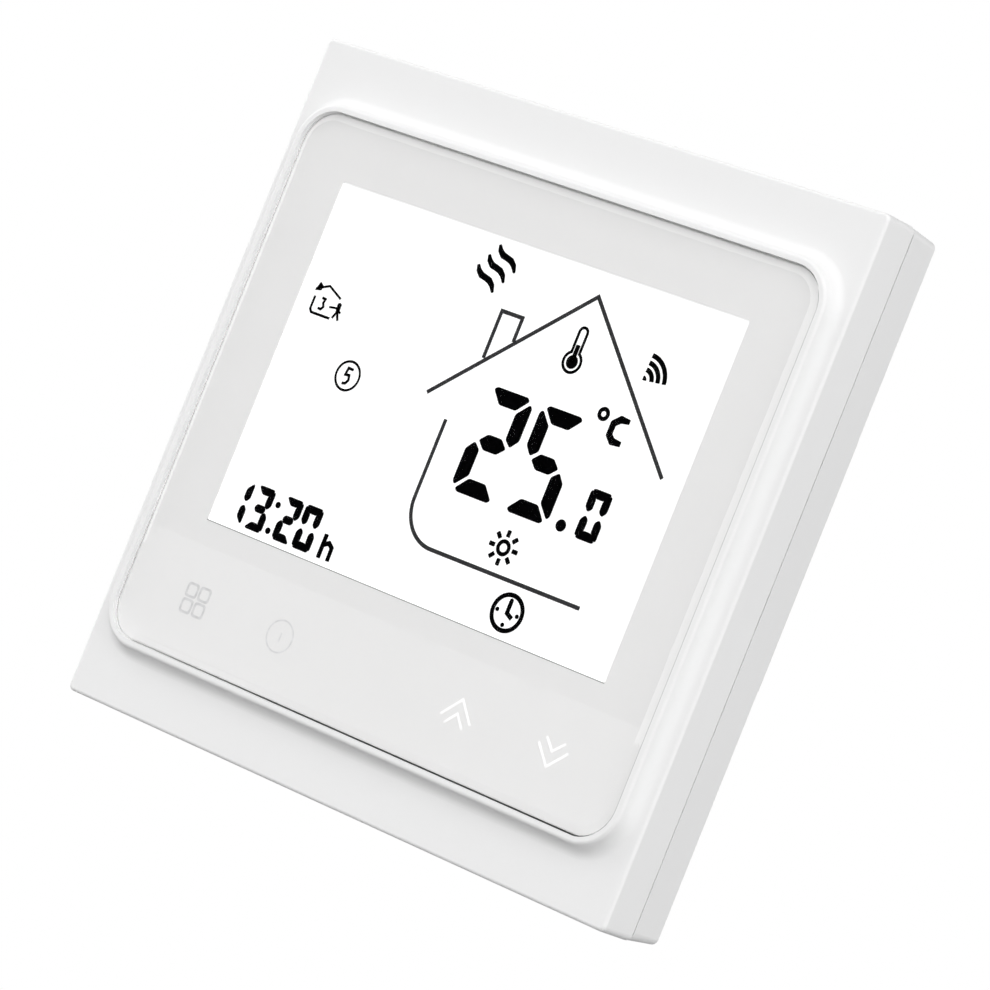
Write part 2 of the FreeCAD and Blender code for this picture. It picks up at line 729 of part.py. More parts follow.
def make_room_sensor():
    """A thermistor bead that hangs below the board, in the draught from the vents."""
    middle = "board_height - board_thick / 2"
    between = "(board_tall / 2 + cover_size / 2 - cover_rim) / 2"
    bead = lying_rod(1.15, 3.4, 0, f"-{between}", middle, "Z")
    legs = [lying_rod(0.2, 2, x, "-board_tall / 2 - 1", middle, "Z") for x in (-0.6, 0.6)]
    named("room_sensor", joined([bead] + legs))


def make_small_parts():
    spots = [(-17.5, x) for x in (-12, -8, -4, 0, 4)] + [(-1.2, x) for x in (-14, -10, -6, -2, 2)]
    spots += [(x, 22) for x in (-16, -12, -8, 8, 12, 16)]
    chips = [block(1.25, 2.0, 0.6, x, z, "board_back") for x, z in spots]
    chips += [block(2.9, 1.6, 1.1, x, 25.5, "board_back") for x in (-14, 14)]
    chips.append(block(5.0, 5.0, 1.9, 14, 12, "board_back"))
    named("smd_passives", together(chips))


def pin_places():
    return [f"{n} * plug_pitch" for n in (-2, -1, 0, 1, 2)]


def make_plug():
    wide = "plug_pins * plug_pitch"
    body = block(wide, "plug_body_tall", "socket_tall", 0, "plug_z", "board_back")
    holes = [
        block("plug_hole", "plug_hole", "socket_tall - 0.1", x, "plug_z", "board_back - 0.1") for x in pin_places()
    ]
    named("board_socket", cut(body, holes))
    header = block(wide, "plug_body_tall", "power_board_depth - 0.1", 0, "plug_z", "-0.1")
    holes = [block("plug_pin", "plug_pin", 9, x, "plug_z", 3) for x in pin_places()]
    named("pin_header", cut(header, holes))
    pins = [
        block("plug_pin", "plug_pin", "pin_reach + power_board_depth + 0.8 + power_board_thick", x, "plug_z", "pin_reach")
        for x in pin_places()
    ]
    named("header_pins", together(pins))


def make_rear_cover():
    shell = Shell("rear_cover")
    shell.pad(add_outline(shell.sketch("cover_back"), "cover_size", "cover_size", "cover_corner"), "cover_thick")
    bay = add_outline(shell.sketch("bay_back"), "bay_width", "bay_tall", "bay_corner")
    shell.pad(bay, "cover_front - bay_back")
    rim = shell.sketch("cover_front")
    add_outline(rim, "cover_size", "cover_size", "cover_corner")
    inner = "cover_size - 2 * cover_rim"
    add_outline(rim, inner, inner, "cover_corner - cover_rim", tag="_inner")
    shell.pad(rim, "boss_end - cover_front")
    bosses, holes, seats = shell.sketch("cover_back"), shell.sketch("boss_end"), shell.sketch("cover_back")
    for x, z, tag in corners("cover_screw_at", "cover_screw_at"):
        add_circle(bosses, "cover_boss", x, z, tag)
        add_circle(holes, "tapping_radius + screw_clear / 2", x, z, tag)
        add_circle(seats, "counterbore", x, z, tag)
    shell.pad(bosses, "boss_end - cover_back")
    shell.pocket(seats, "counterbore_deep", forward=True)
    shell.pocket(holes, "boss_end - cover_back")
    room = shell.sketch("cover_front")
    add_outline(room, "bay_width - 2 * bay_wall", "bay_tall - 2 * bay_wall", "bay_corner - bay_wall")
    shell.pocket(room, "cover_front - bay_back - bay_floor")
    add_cover_openings(shell)
    add_tongues(shell)


def add_cover_openings(shell):
    gate = shell.sketch("cover_front", z="plug_z")
    add_rectangle(gate, "plug_pins * plug_pitch + 2 * plug_margin", "plug_body_tall + 2 * plug_margin")
    shell.pocket(gate, "cover_front")
    for side in (-1, 1):
        heads = shell.sketch("cover_front", x=f"{side} * wall_screw_pitch / 2")
        shell.pocket(add_slot(heads, "head_slot_radius", "head_slot_length"), "cover_thick")


def add_tongues(shell):
    """Snap tongues that reach through the steel plate, each with a barb on its outer side."""
    roots, tips = shell.sketch("cover_back"), shell.sketch("-tongue_tip")
    for x, z, tag in corners("tongue_x", "tongue_z"):
        side = "1" if not z.startswith("-") else "-1"
        add_rectangle(roots, "tongue_width", "tongue_thick", x, z, tag)
        add_rectangle(tips, "tongue_width", "tongue_thick + tongue_barb", x, f"{z} + {side} * tongue_barb / 2", tag)
    shell.pad(roots, "cover_back + tongue_tip", forward=False)
    shell.pad(tips, "tongue_tip - tongue_clear")


# ---------------------------------------------------------------- outer frame

def make_outer_frame():
    shell = Shell("outer_frame")
    rear = "face_size - 2 * rear_draft"
    outline = add_outline(shell.sketch(0), rear, rear, "face_corner")
    shell.pad(outline, "frame_height", taper="atan(rear_draft / frame_height)")
    inner = "face_size - 2 * wall_thick"
    shell.pocket(add_outline(shell.sketch("frame_height"), inner, inner, 1.0), "frame_height - floor_front")
    hollow = f"{rear} - 2 * wall_thick"
    shell.pocket(add_outline(shell.sketch(0), hollow, hollow, 1.0), "floor_back", forward=True)
    rib = shell.sketch("frame_off_wall")
    bed, outside = "plate_size + 2 * frame_rib_clear", "plate_size + 2 * (frame_rib_clear + frame_rib)"
    add_outline(rib, outside, outside, "plate_corner + frame_rib_clear + frame_rib")
    add_outline(rib, bed, bed, "plate_corner + frame_rib_clear", tag="_inner")
    shell.pad(rib, "floor_back - frame_off_wall")
    hole = add_outline(shell.sketch("floor_front"), "frame_opening", "frame_opening", "frame_opening_corner")
    shell.pocket(hole, "frame_floor")
    add_side_openings(shell)


def add_side_openings(shell):
    """Vent slits through the top and bottom walls, and a slot for a screwdriver in the bottom edge."""
    slits = shell.sketch("face_size", plane="XY_Plane")
    for n in (-3, -2, -1, 1, 2, 3):
        tag = f"_{n + 3}"
        add_rectangle(slits, "vent_length", "vent_tall", f"{n} * vent_pitch", "-(floor_front + vent_tall)", tag)
    shell.pocket(slits, "2 * face_size")
    notch = shell.sketch("-face_size / 2 + wall_thick + 0.5", plane="XY_Plane")
    add_rectangle(notch, "pry_width", "2 * pry_depth", 0, "-frame_height")
    shell.pocket(notch, "wall_thick + 2")


# ---------------------------------------------------------------- power unit

def make_mounting_plate():
    shell = Shell("mounting_plate")
    sheet_metal = shell.sketch(0)
    add_outline(sheet_metal, "plate_size", "plate_size", "plate_corner")
    add_outline(sheet_metal, "plate_window_width", "plate_window_tall", 2.0, tag="_window")
    for x, z, tag in corners("tongue_x", "tongue_z"):
        side = "1" if not z.startswith("-") else "-1"
        tall = "tongue_thick + tongue_barb + 2 * tongue_clear"
        wide = "tongue_width + 2 * tongue_clear"
        add_rectangle(sheet_metal, wide, tall, x, f"{z} + {side} * tongue_barb / 2", "_tongue" + tag)
    for x, z, tag in corners("case_screw_x", "case_screw_z"):
        add_circle(sheet_metal, "case_screw_radius + screw_clear / 2", x, z, tag)
    shell.pad(sheet_metal, "plate_thick")
    for side in (-1, 1):
        slot = shell.sketch("plate_thick", x=f"{side} * wall_screw_pitch / 2")
        shell.pocket(add_slot(slot, "wall_slot_radius", "wall_slot_length"), "plate_thick")
    shell.dress("Chamfer", round_holes_at(SIZES["plate_thick"]), Size="plate_thick - 0.2")


def make_case_lid():
    shell = Shell("case_lid")
    outline = shell.sketch("-lid_thick")
    add_outline(outline, "case_width", "case_tall", "case_corner")
    for x, z, tag in corners("case_screw_x", "case_screw_z"):
        add_circle(outline, "case_screw_radius + screw_clear / 2", x, z, tag)
    shell.pad(outline, "lid_thick")
    gate = shell.sketch(0, z="plug_z")
    add_rectangle(gate, "plug_pins * plug_pitch + 2 * plug_margin", "plug_body_tall + 2 * plug_margin")
    shell.pocket(gate, "lid_thick")
    posts = shell.sketch("-lid_thick")
    for x, z, tag in corners("case_width / 2 - 8", "case_tall / 2 - 4"):
        add_circle(posts, 1.5, x, z, tag)
    shell.pad(posts, "power_board_depth - lid_thick", forward=False)


def make_case_screws():
    screws = []
    for x, z, _ in corners("case_screw_x", "case_screw_z"):
        shank = rod("case_screw_radius", "case_screw_long", x, z, "plate_thick - 0.1")
        head = cone("case_screw_head", "case_screw_radius", "case_screw_head - case_screw_radius", x, z, "plate_thick - 0.05")
        cross = [block(2.4, 0.45, 0.9, x, z, "plate_thick"), block(0.45, 2.4, 0.9, x, z, "plate_thick")]
        screws.append(cut(joined([shank, head]), cross))
    named("case_screws", together(screws))




def make_power_case():
    shell = Shell("power_case")
    shell.pad(add_outline(shell.sketch("-case_depth"), "case_width", "case_tall", "case_corner"), "case_depth - lid_thick")
    room = add_outline(shell.sketch("-lid_thick"), "case_width - 2 * case_wall", "case_tall - 2 * case_wall", "case_corner - case_wall")
    shell.pocket(room, "case_depth - lid_thick - case_wall")
    infill = shell.sketch("-case_depth")
    low, high = "(-case_tall / 2)", "(step_z + case_wall)"
    add_rectangle(infill, "case_width - case_wall", f"{high} - {low} - 1", 0, f"({high} + {low} + 1) / 2")
    shell.pad(infill, "case_depth - case_step + case_wall")
    step = shell.sketch("-case_depth")
    add_rectangle(step, "2 * case_width", f"step_z - {low} + 4", 0, f"(step_z + {low} - 4) / 2")
    shell.pocket(step, "case_depth - case_step", forward=True)
    mouth = shell.sketch("-case_step - 1")
    add_rectangle(mouth, "block_wide + 0.4", f"step_z - {low} + 4", 0, f"(step_z + {low} - 4) / 2")
    shell.pocket(mouth, "case_step + 1 + block_front + 0.1", forward=True)
    add_case_bosses(shell)


def add_case_bosses(shell):
    bosses, pilots = shell.sketch("-lid_thick"), shell.sketch("-lid_thick")
    for x, z, tag in corners("case_screw_x", "case_screw_z"):
        add_circle(bosses, "case_boss", x, z, tag)
        add_circle(pilots, "case_screw_radius + 0.03", x, z, tag)
    shell.pad(bosses, "case_boss_depth", forward=False)
    shell.pocket(pilots, "case_screw_long")
    ledges = shell.sketch("block_front")
    for n, (side, z) in enumerate(((-1, 14), (1, 17), (1, -7))):
        add_rectangle(ledges, 1.4, 2.5, f"{side} * (case_width / 2 - case_wall - 0.5)", z, f"_{n}")
    shell.pad(ledges, "case_depth - case_wall + block_front + 0.1", forward=False)
    recess = shell.sketch("-case_depth", z=6)
    add_rectangle(recess, "case_width - 20", 22, 0, 0)
    shell.pocket(recess, 0.15, forward=True)
    slits = shell.sketch("case_tall / 2 + 1", plane="XY_Plane")
    for n in range(-3, 4):
        add_rectangle(slits, 1.4, 9, f"{n} * 4", "case_depth - 12", f"_{n + 3}")
    shell.pocket(slits, "case_wall + 2")


def make_rating_label():
    named("rating_label", block("case_width - 20.4", 21.6, 0.12, 0, 6, "-case_depth + 0.15"))


def make_power_board():
    shell = Shell("power_board")
    outline = shell.sketch("block_front")
    inset = "2 * (case_wall + power_board_gap)"
    add_rectangle(outline, f"case_width - {inset}", f"case_tall - {inset}")
    shell.pad(outline, "power_board_thick")
    notches = shell.sketch("-power_board_depth")
    for x, z, tag in corners("case_screw_x", "case_screw_z"):
        add_circle(notches, "case_boss + power_board_gap", x, z, tag)
    shell.pocket(notches, "power_board_thick")
    holes = shell.sketch("-power_board_depth")
    for n, x in enumerate(pin_places()):
        add_rectangle(holes, "plug_pin", "plug_pin", x, "plug_z", f"_{n}")
    shell.pocket(holes, "power_board_thick")


# ---------------------------------------------------------------- terminals

POLES = [(n + 1, f"({2 * n - 5} * pole_pitch / 2)") for n in range(6)]


def make_terminal_housing():
    body = block("block_wide", "block_tall", "block_thick", 0, "block_z", "block_front")
    cuts = []
    for _, x in POLES:
        channel = "cage_tall + cage_travel + 2 * cage_clear"
        wide, deep = "cage_width + 2 * cage_clear", "cage_deep + 2 * cage_clear"
        cuts.append(block(wide, deep, channel, x, "cage_z", "cage_front + cage_clear"))
        cuts.append(rod("screw_head + 0.1", "screw_head_tall + 0.4", x, "cage_z", "head_front + 0.1"))
        cuts.append(rod("driver_hole", "block_thick", x, "cage_z", "head_front"))
        gap = "(cage_front - cage_floor - bar_front + 0.2)"
        cuts.append(block("cage_window + 0.8", 4, gap, x, "block_low", "cage_front - cage_floor + 0.1"))
        leg_z = "cage_z + cage_deep / 2 + 1.2"
        cuts.append(block("bar_width + 0.2", 2.8, "block_front - bar_front + bar_thick + 0.1", x, leg_z, "block_front"))
    named("terminal_housing", cut(body, cuts))


def make_terminal_contacts():
    bars = []
    leg_z = "(cage_z + cage_deep / 2 + 1.8)"
    for _, x in POLES:
        reach = "cage_deep + 1.8"
        bar = block("bar_width", reach, "bar_thick", x, f"{leg_z} + 0.4 - ({reach}) / 2", "bar_front")
        leg = block("bar_width", 0.8, "block_front - bar_front + bar_thick", x, leg_z, "block_front")
        bars.append(joined([bar, leg]))
    named("terminal_contacts", together(bars))


def make_terminal_poles():
    for number, x in POLES:
        cage = block("cage_width", "cage_deep", "cage_tall", x, "cage_z", "cage_front")
        window = block("cage_window", "cage_deep + 1", "cage_tall - cage_floor - cage_roof", x, "cage_z", "cage_front - cage_floor")
        bore = rod("screw_bore", "cage_roof + 1", x, "cage_z", "roof_front + 0.5")
        named(f"terminal_cage_{number}", cut(cage, [window, bore]))
        shank = rod("screw_radius", "bar_front - bar_thick - 0.05 - head_front", x, "cage_z", "bar_front - bar_thick - 0.05")
        head = rod("screw_head", "screw_head_tall", x, "cage_z", "head_front")
        slot = block(6, "driver_slot", 2, x, "cage_z", "head_front - screw_head_tall + driver_slot_deep")
        named(f"terminal_screw_{number}", cut(joined([shank, head]), [slot]))


# ---------------------------------------------------------------- relay



def make_relay():
    named("relay_base", block("relay_long", "relay_wide", "relay_base", "relay_x", "relay_z", "block_front"))
    outer = block("relay_long", "relay_wide", "relay_tall - relay_base", "relay_x", "relay_z", "relay_floor")
    long, wide = "relay_long - 2 * relay_wall", "relay_wide - 2 * relay_wall"
    inner = block(long, wide, "relay_tall - relay_base - relay_wall", "relay_x", "relay_z", "relay_floor")
    named("relay_cover", cut(outer, [inner]))
    leg_x = "yoke_x + yoke_thick / 2"
    leg = block("yoke_thick", "yoke_wide", "relay_floor - yoke_height + yoke_thick", leg_x, "relay_z", "relay_floor")
    top_long = "(armature_x - 0.1 - yoke_x)"
    top = block(top_long, "yoke_wide", "yoke_thick", f"yoke_x + {top_long} / 2", "relay_z", "yoke_height")
    core_long = "(pole_x - yoke_x - yoke_thick / 2)"
    core = lying_rod("core_radius", core_long, f"pole_x - {core_long} / 2", "relay_z", "coil_height", "X")
    named("relay_yoke", joined([leg, top, core]))
    make_relay_coil()
    make_relay_contacts()


def make_relay_coil():
    long = "(pole_x - yoke_x - yoke_thick - 0.6)"
    middle = f"(pole_x - 0.4 - {long} / 2)"
    wound = lying_rod("coil_radius", long, middle, "relay_z", "coil_height", "X")
    flanges = [
        lying_rod("coil_flange", 0.7, f"{middle} + {side} * ({long} - 0.7) / 2", "relay_z", "coil_height", "X")
        for side in (-1, 1)
    ]
    hole = lying_rod("core_radius", "relay_long", middle, "relay_z", "coil_height", "X")
    named("relay_coil", cut(joined([wound] + flanges), [hole]))


def make_relay_contacts():
    top = "(yoke_height - yoke_thick - 0.3)"
    arm_x = "armature_x + armature_thick / 2"
    named("relay_armature", block("armature_thick", "yoke_wide - 1", "armature_long - 2", arm_x, "relay_z", f"{top} + armature_long - 2"))
    strip = f"({top} + 3.3)"
    upright = block("blade_thick", 4, 5.5, "blade_x + blade_thick / 2", "relay_z", f"{top} + 5.8")
    arm = block(9.2, 4, "blade_thick", "blade_x + 4.6", "relay_z", strip)
    button = rod("button_radius", 0.8, "button_x", "relay_z", f"{strip} + 0.8")
    named("relay_blade", joined([upright, arm, button]))
    post = block(1.0, 4, f"relay_floor - {strip} - 2.25", "button_x", "relay_z", "relay_floor")
    fixed = rod("button_radius", 0.8, "button_x", "relay_z", f"{strip} + 2.25")
    named("relay_fixed_contact", joined([post, fixed]))


# ---------------------------------------------------------------- other parts on the power board

def make_transformer():
    x, z, seat = "case_width / 2 - 10.8", 11, "block_front - 1.6"
    core = block(16, 5, 14, x, z, seat)
    windows = [block(3.4, 6, 10, f"{x} + {side} * 3.7", z, f"{seat} - 2") for side in (-1, 1)]
    named("transformer_core", cut(core, windows))
    named("transformer_bobbin", block(14, 14, 1.6, x, z, "block_front"))
    wound = block(10.6, 13, 9.8, x, z, f"{seat} - 2")
    named("transformer_winding", cut(wound, [block(4.0, 5.2, 12, x, z, f"{seat} - 1")]))


def make_power_parts():
    cans = [rod(4, 12.5, f"relay_left + {x}", 7.8, "block_front") for x in (5.4, 14.8)]
    named("bulk_capacitors", together(cans))
    named("film_capacitor", block(13, 6, 11.5, "case_width / 2 - 11", -6.2, "block_front"))
    x = "case_width / 2 - 11.5"
    disc = lying_rod(4.3, 3.2, x, 0.6, "block_front - 5.3", "Z")
    legs = [rod(0.4, 2, f"{x} + {side} * 2.5", 0.6 + side * 0.8, "block_front") for side in (-1, 1)]
    named("varistor", joined([disc] + legs))
    named("fuse_link", rod(2, 8, "relay_left + 24.8", 8, "block_front"))
    x = "relay_left + 8.4"
    body = block(9.4, 6.4, 3.3, x, 16, "block_front - 0.5")
    pins = [
        block(0.5, 0.3, 2.2, f"{x} + {2.54 * n}", 16 + 3.35 * side, "block_front")
        for n in (-1.5, -0.5, 0.5, 1.5)
        for side in (-1, 1)
    ]
    named("converter_chip", joined([body] + pins))


def save_pieces():
    doc.recompute()
    for piece in doc.Objects:
        if {"Invalid", "Error"} & set(piece.State):
            raise ValueError(f"{piece.Label} did not build: {piece.State}")
    os.makedirs("parts", exist_ok=True)
    for label, piece in parts.items():
        if piece.Shape.isNull() or not piece.Shape.isValid() or not piece.Shape.Solids:
            raise ValueError(f"{label} is not a valid solid")
        piece.Shape.exportStep(f"parts/{label}.step")


fill_sheet()
make_touch_lens()
make_mask_film()
make_lens_tape()
make_front_bezel()
make_display()
make_display_holder()
make_control_board()
make_control_parts()
make_plug()
make_panel_screws()
make_rear_cover()
make_outer_frame()
make_mounting_plate()
make_case_lid()
make_power_case()
make_case_screws()
make_rating_label()
make_power_board()
make_terminal_housing()
make_terminal_contacts()
make_terminal_poles()
make_relay()
make_transformer()
make_power_parts()
save_pieces()
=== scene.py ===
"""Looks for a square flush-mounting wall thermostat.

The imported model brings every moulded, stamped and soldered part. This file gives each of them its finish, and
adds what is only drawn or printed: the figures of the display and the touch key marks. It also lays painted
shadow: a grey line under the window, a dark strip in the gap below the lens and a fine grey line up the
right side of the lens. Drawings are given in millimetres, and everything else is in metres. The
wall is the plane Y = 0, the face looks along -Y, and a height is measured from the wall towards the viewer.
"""

import json
import math

import bmesh
import bpy
from bpy.props import FloatProperty, FloatVectorProperty, PointerProperty
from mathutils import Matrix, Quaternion, Vector


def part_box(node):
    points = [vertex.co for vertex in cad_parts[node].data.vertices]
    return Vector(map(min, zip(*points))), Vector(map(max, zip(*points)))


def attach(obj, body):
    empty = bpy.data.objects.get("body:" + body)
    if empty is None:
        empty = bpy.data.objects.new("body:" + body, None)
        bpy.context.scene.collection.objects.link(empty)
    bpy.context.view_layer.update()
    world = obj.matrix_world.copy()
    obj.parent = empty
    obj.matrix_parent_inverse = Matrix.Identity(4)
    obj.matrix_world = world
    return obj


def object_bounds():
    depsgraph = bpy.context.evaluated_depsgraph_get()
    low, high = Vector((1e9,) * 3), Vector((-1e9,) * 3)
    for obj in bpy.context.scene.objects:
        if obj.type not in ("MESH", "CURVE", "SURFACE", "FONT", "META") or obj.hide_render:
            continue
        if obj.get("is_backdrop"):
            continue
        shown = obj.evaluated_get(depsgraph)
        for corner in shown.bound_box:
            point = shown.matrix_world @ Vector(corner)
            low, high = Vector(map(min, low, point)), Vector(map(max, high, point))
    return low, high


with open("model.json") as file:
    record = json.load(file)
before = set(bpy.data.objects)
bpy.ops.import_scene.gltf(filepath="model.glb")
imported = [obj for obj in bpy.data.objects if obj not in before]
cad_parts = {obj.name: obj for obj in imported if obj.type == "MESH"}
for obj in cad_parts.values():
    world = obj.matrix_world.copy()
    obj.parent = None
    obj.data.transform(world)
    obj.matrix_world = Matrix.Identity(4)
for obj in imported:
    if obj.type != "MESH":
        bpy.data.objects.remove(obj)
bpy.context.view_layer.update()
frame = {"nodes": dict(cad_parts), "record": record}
for plain in list(bpy.data.materials):
    bpy.data.materials.remove(plain)

bl_info = {
    "name": "Wall Thermostat",
    "version": (1, 0, 0),
    "blender": (4, 5, 0),
    "location": "3D View > Sidebar > Thermostat",
    "description": "Finishes, drawn display and small fittings of a square wall thermostat",
    "category": "Object",
}

MM = 0.001
NODES = frame["nodes"]
PRINT_THICK = 0.02 * MM     # of a printed mark or line
PRINT_AHEAD = 0.03 * MM     # front of a printed mark before the surface that carries it
FIGURE_AHEAD = 0.045 * MM   # front of the figures before the display glass


# -------------------- sizes and colours a user may change

def length(name, description, default):
    return FloatProperty(name=name, description=description, default=default, unit="LENGTH")


def angle(name, description, default):
    return FloatProperty(name=name, description=description, default=default, unit="ROTATION")


def colour(name, description, default):
    return FloatVectorProperty(
        name=name, description=description, default=default, subtype="COLOR", min=0, max=1,
    )


class DisplaySizes(bpy.types.PropertyGroup):
    """Sizes of what the display shows, measured on the glass."""

    window_side: length(
        "Glass beside the window", "How far the glass reaches past the window at the sides", 2.4 * MM,
    )
    window_above: length(
        "Glass above the window", "How far the glass reaches past the window at the top", 1.7 * MM,
    )
    line: length("House line", "Width of the house outline", 0.52 * MM)
    figure_thick: length("Figure thickness", "Thickness of the drawn figures", 0.02 * MM)
    outline: colour("Outline", "Colour of the paler house outline", (0.04, 0.04, 0.042))
    ink: colour("Figures", "Colour of the dark figures", (0.0015, 0.0015, 0.0018))
    light: FloatProperty(
        name="Backlight", description="Brightness of the lit display", default=0.42, min=0, subtype="FACTOR",
    )


class ShellFinish(bpy.types.PropertyGroup):
    """Finish of the white mouldings and of the lens area."""

    white: colour("Shell white", "Colour of the front mouldings", (0.9, 0.9, 0.9))
    shell_rough: FloatProperty(
        name="Shell roughness", description="Roughness of the satin mouldings", default=0.42, min=0, max=1,
        subtype="FACTOR",
    )
    film: colour("Film white", "Colour of the print behind the lens", (0.94, 0.937, 0.934))
    key_line: length("Key line", "Width of the lines of the key marks", 0.27 * MM)


class StageSetup(bpy.types.PropertyGroup):
    """Camera, lamps and floor."""

    azimuth: angle("Azimuth", "Camera's angle round the object", math.radians(36.737))
    elevation: angle("Elevation", "Camera's angle above the horizon", math.radians(-0.916))
    roll: angle("Roll", "Turn of the camera about its own axis", math.radians(21.903))
    distance: length("Distance", "Camera's distance from its target", 0.545223)
    target: FloatVectorProperty(
        name="Target", description="Point that the camera looks at", default=(0.00684, -0.0119, -0.002132),
        unit="LENGTH",
    )
    lens: FloatProperty(name="Lens", description="Focal length in millimetres", default=164.05)
    drop: length("Floor drop", "How far the floor lies below the object", 0.12)
    front_light: FloatProperty(
        name="Front light", description="Brightness of the broad light in front", default=2.4, min=0,
    )
    right_light: FloatProperty(
        name="Right light", description="Brightness of the broad light on the right", default=2.02, min=0,
    )
    left_light: FloatProperty(
        name="Left light", description="Brightness of the broad light on the left", default=2.12, min=0,
    )
    key_power: FloatProperty(
        name="Key lamp", description="Power of the soft lamp above the face", default=0.25, unit="POWER",
    )


# -------------------- node building

def add_node(tree, kind, feeds=None, **settings):
    """A shader node whose inputs are given as numbers, colours or other nodes' sockets."""
    made = tree.nodes.new("ShaderNode" + kind)
    for name, value in settings.items():
        setattr(made, name, value)
    for key, value in (feeds or {}).items():
        socket = made.inputs[key]
        if isinstance(value, bpy.types.NodeSocket):
            tree.links.new(value, socket)
        else:
            socket.default_value = value
    return made


def in_steps(tree, value, low, high, to_low=0.0, to_high=1.0):
    """Value carried from the range low..high to to_low..to_high, and held at the ends."""
    feeds = {"Value": value, "From Min": low, "From Max": high, "To Min": to_low, "To Max": to_high}
    return add_node(tree, "MapRange", feeds).outputs[0]


def blended(tree, mask, first, second):
    """The colour first where mask is 0 and second where it is 1."""
    four = [tuple(c) + (1.0,) if isinstance(c, (tuple, list)) else c for c in (first, second)]
    return add_node(tree, "Mix", {0: mask, 6: four[0], 7: four[1]}, data_type="RGBA").outputs[2]


def worked(tree, operation, first, second=0.0):
    """The result of one sum on values that change over the surface."""
    return add_node(tree, "Math", {0: first, 1: second}, operation=operation).outputs[0]


def scaled(tree, value, factor):
    return worked(tree, "MULTIPLY", value, factor)


def new_group(name, inputs, outputs):
    """An empty node group with its sockets, given as {name: default} and a list of output names."""
    tree = bpy.data.node_groups.new(name, "ShaderNodeTree")
    tree.interface.new_socket("Vector", in_out="INPUT", socket_type="NodeSocketVector")
    for label, default in inputs.items():
        tree.interface.new_socket(label, in_out="INPUT", socket_type="NodeSocketFloat").default_value = default
    for label in outputs:
        tree.interface.new_socket(label, in_out="OUTPUT", socket_type="NodeSocketFloat")
    return tree, tree.nodes.new("NodeGroupInput").outputs, tree.nodes.new("NodeGroupOutput").inputs


def make_moulded_grain():
    """Fine spark-eroded grain of a moulding, with the slow change of gloss over it."""
    tree, given, out = new_group("moulded_grain", {"Grain": 6000.0, "Cloud": 60.0}, ["Height", "Gloss"])
    fine = add_node(tree, "TexNoise", {"Vector": given["Vector"], "Scale": given["Grain"], "Detail": 2.0})
    pits = add_node(tree, "TexVoronoi", {"Vector": given["Vector"], "Scale": scaled(tree, given["Grain"], 0.6)})
    cloud = add_node(tree, "TexNoise", {"Vector": given["Vector"], "Scale": given["Cloud"], "Detail": 4.0})
    rise = worked(tree, "ADD", fine.outputs["Fac"], scaled(tree, pits.outputs["Distance"], 0.5))
    tree.links.new(rise, out["Height"])
    tree.links.new(in_steps(tree, cloud.outputs["Fac"], 0.3, 0.7), out["Gloss"])


def make_handling():
    """Faint smears and settled dust where the part has been handled."""
    tree, given, out = new_group("handling", {"Spread": 35.0, "Speck": 2500.0}, ["Smear", "Dust"])
    feeds = {"Vector": given["Vector"], "Scale": given["Spread"], "Detail": 5.0, "Distortion": 1.2}
    smear = add_node(tree, "TexNoise", feeds)
    speck = add_node(tree, "TexVoronoi", {"Vector": given["Vector"], "Scale": given["Speck"]})
    tree.links.new(in_steps(tree, smear.outputs["Fac"], 0.52, 0.75), out["Smear"])
    tree.links.new(in_steps(tree, speck.outputs["Distance"], 0.16, 0.05), out["Dust"])


def make_drawn_metal():
    """Rolling lines and grain of sheet, wire and turned metal."""
    inputs = {"Along": 150.0, "Across": 7000.0}
    tree, given, out = new_group("drawn_metal", inputs, ["Height", "Streak", "Tarnish"])
    scales = {"X": given["Along"], "Y": given["Across"], "Z": given["Across"]}
    stretch = add_node(tree, "CombineXYZ", scales).outputs[0]
    place = add_node(tree, "VectorMath", {0: given["Vector"], 1: stretch}, operation="MULTIPLY").outputs[0]
    lines = add_node(tree, "TexNoise", {"Vector": place, "Scale": 1.0, "Detail": 3.0})
    patches = add_node(tree, "TexNoise", {"Vector": given["Vector"], "Scale": 260.0, "Detail": 5.0})
    tree.links.new(lines.outputs["Fac"], out["Height"])
    tree.links.new(in_steps(tree, lines.outputs["Fac"], 0.35, 0.65), out["Streak"])
    tree.links.new(in_steps(tree, patches.outputs["Fac"], 0.42, 0.66), out["Tarnish"])


def make_etched_tracks():
    """Bundles of parallel copper tracks under the solder mask, in blocks that run across or up."""
    tree, given, out = new_group("etched_tracks", {"Block": 170.0, "Pitch": 1100.0}, ["Track", "Pour"])
    feeds = {"Vector": given["Vector"], "Scale": given["Block"]}
    blocks = add_node(tree, "TexVoronoi", feeds, distance="CHEBYCHEV").outputs["Color"]
    shade = add_node(tree, "SeparateColor", {"Color": blocks}).outputs
    axes = add_node(tree, "SeparateXYZ", {"Vector": given["Vector"]}).outputs
    lines = []
    for axis in ("X", "Z"):
        turn = worked(tree, "FRACT", scaled(tree, axes[axis], given["Pitch"]))
        lines.append(worked(tree, "LESS_THAN", turn, 0.45))
    upright = worked(tree, "GREATER_THAN", shade["Red"], 0.5)
    across = worked(tree, "SUBTRACT", 1.0, upright)
    bundle = worked(tree, "ADD", scaled(tree, lines[0], upright), scaled(tree, lines[1], across))
    tracked = worked(tree, "GREATER_THAN", shade["Green"], 0.42)
    tree.links.new(scaled(tree, bundle, tracked), out["Track"])
    tree.links.new(worked(tree, "LESS_THAN", shade["Green"], 0.3), out["Pour"])


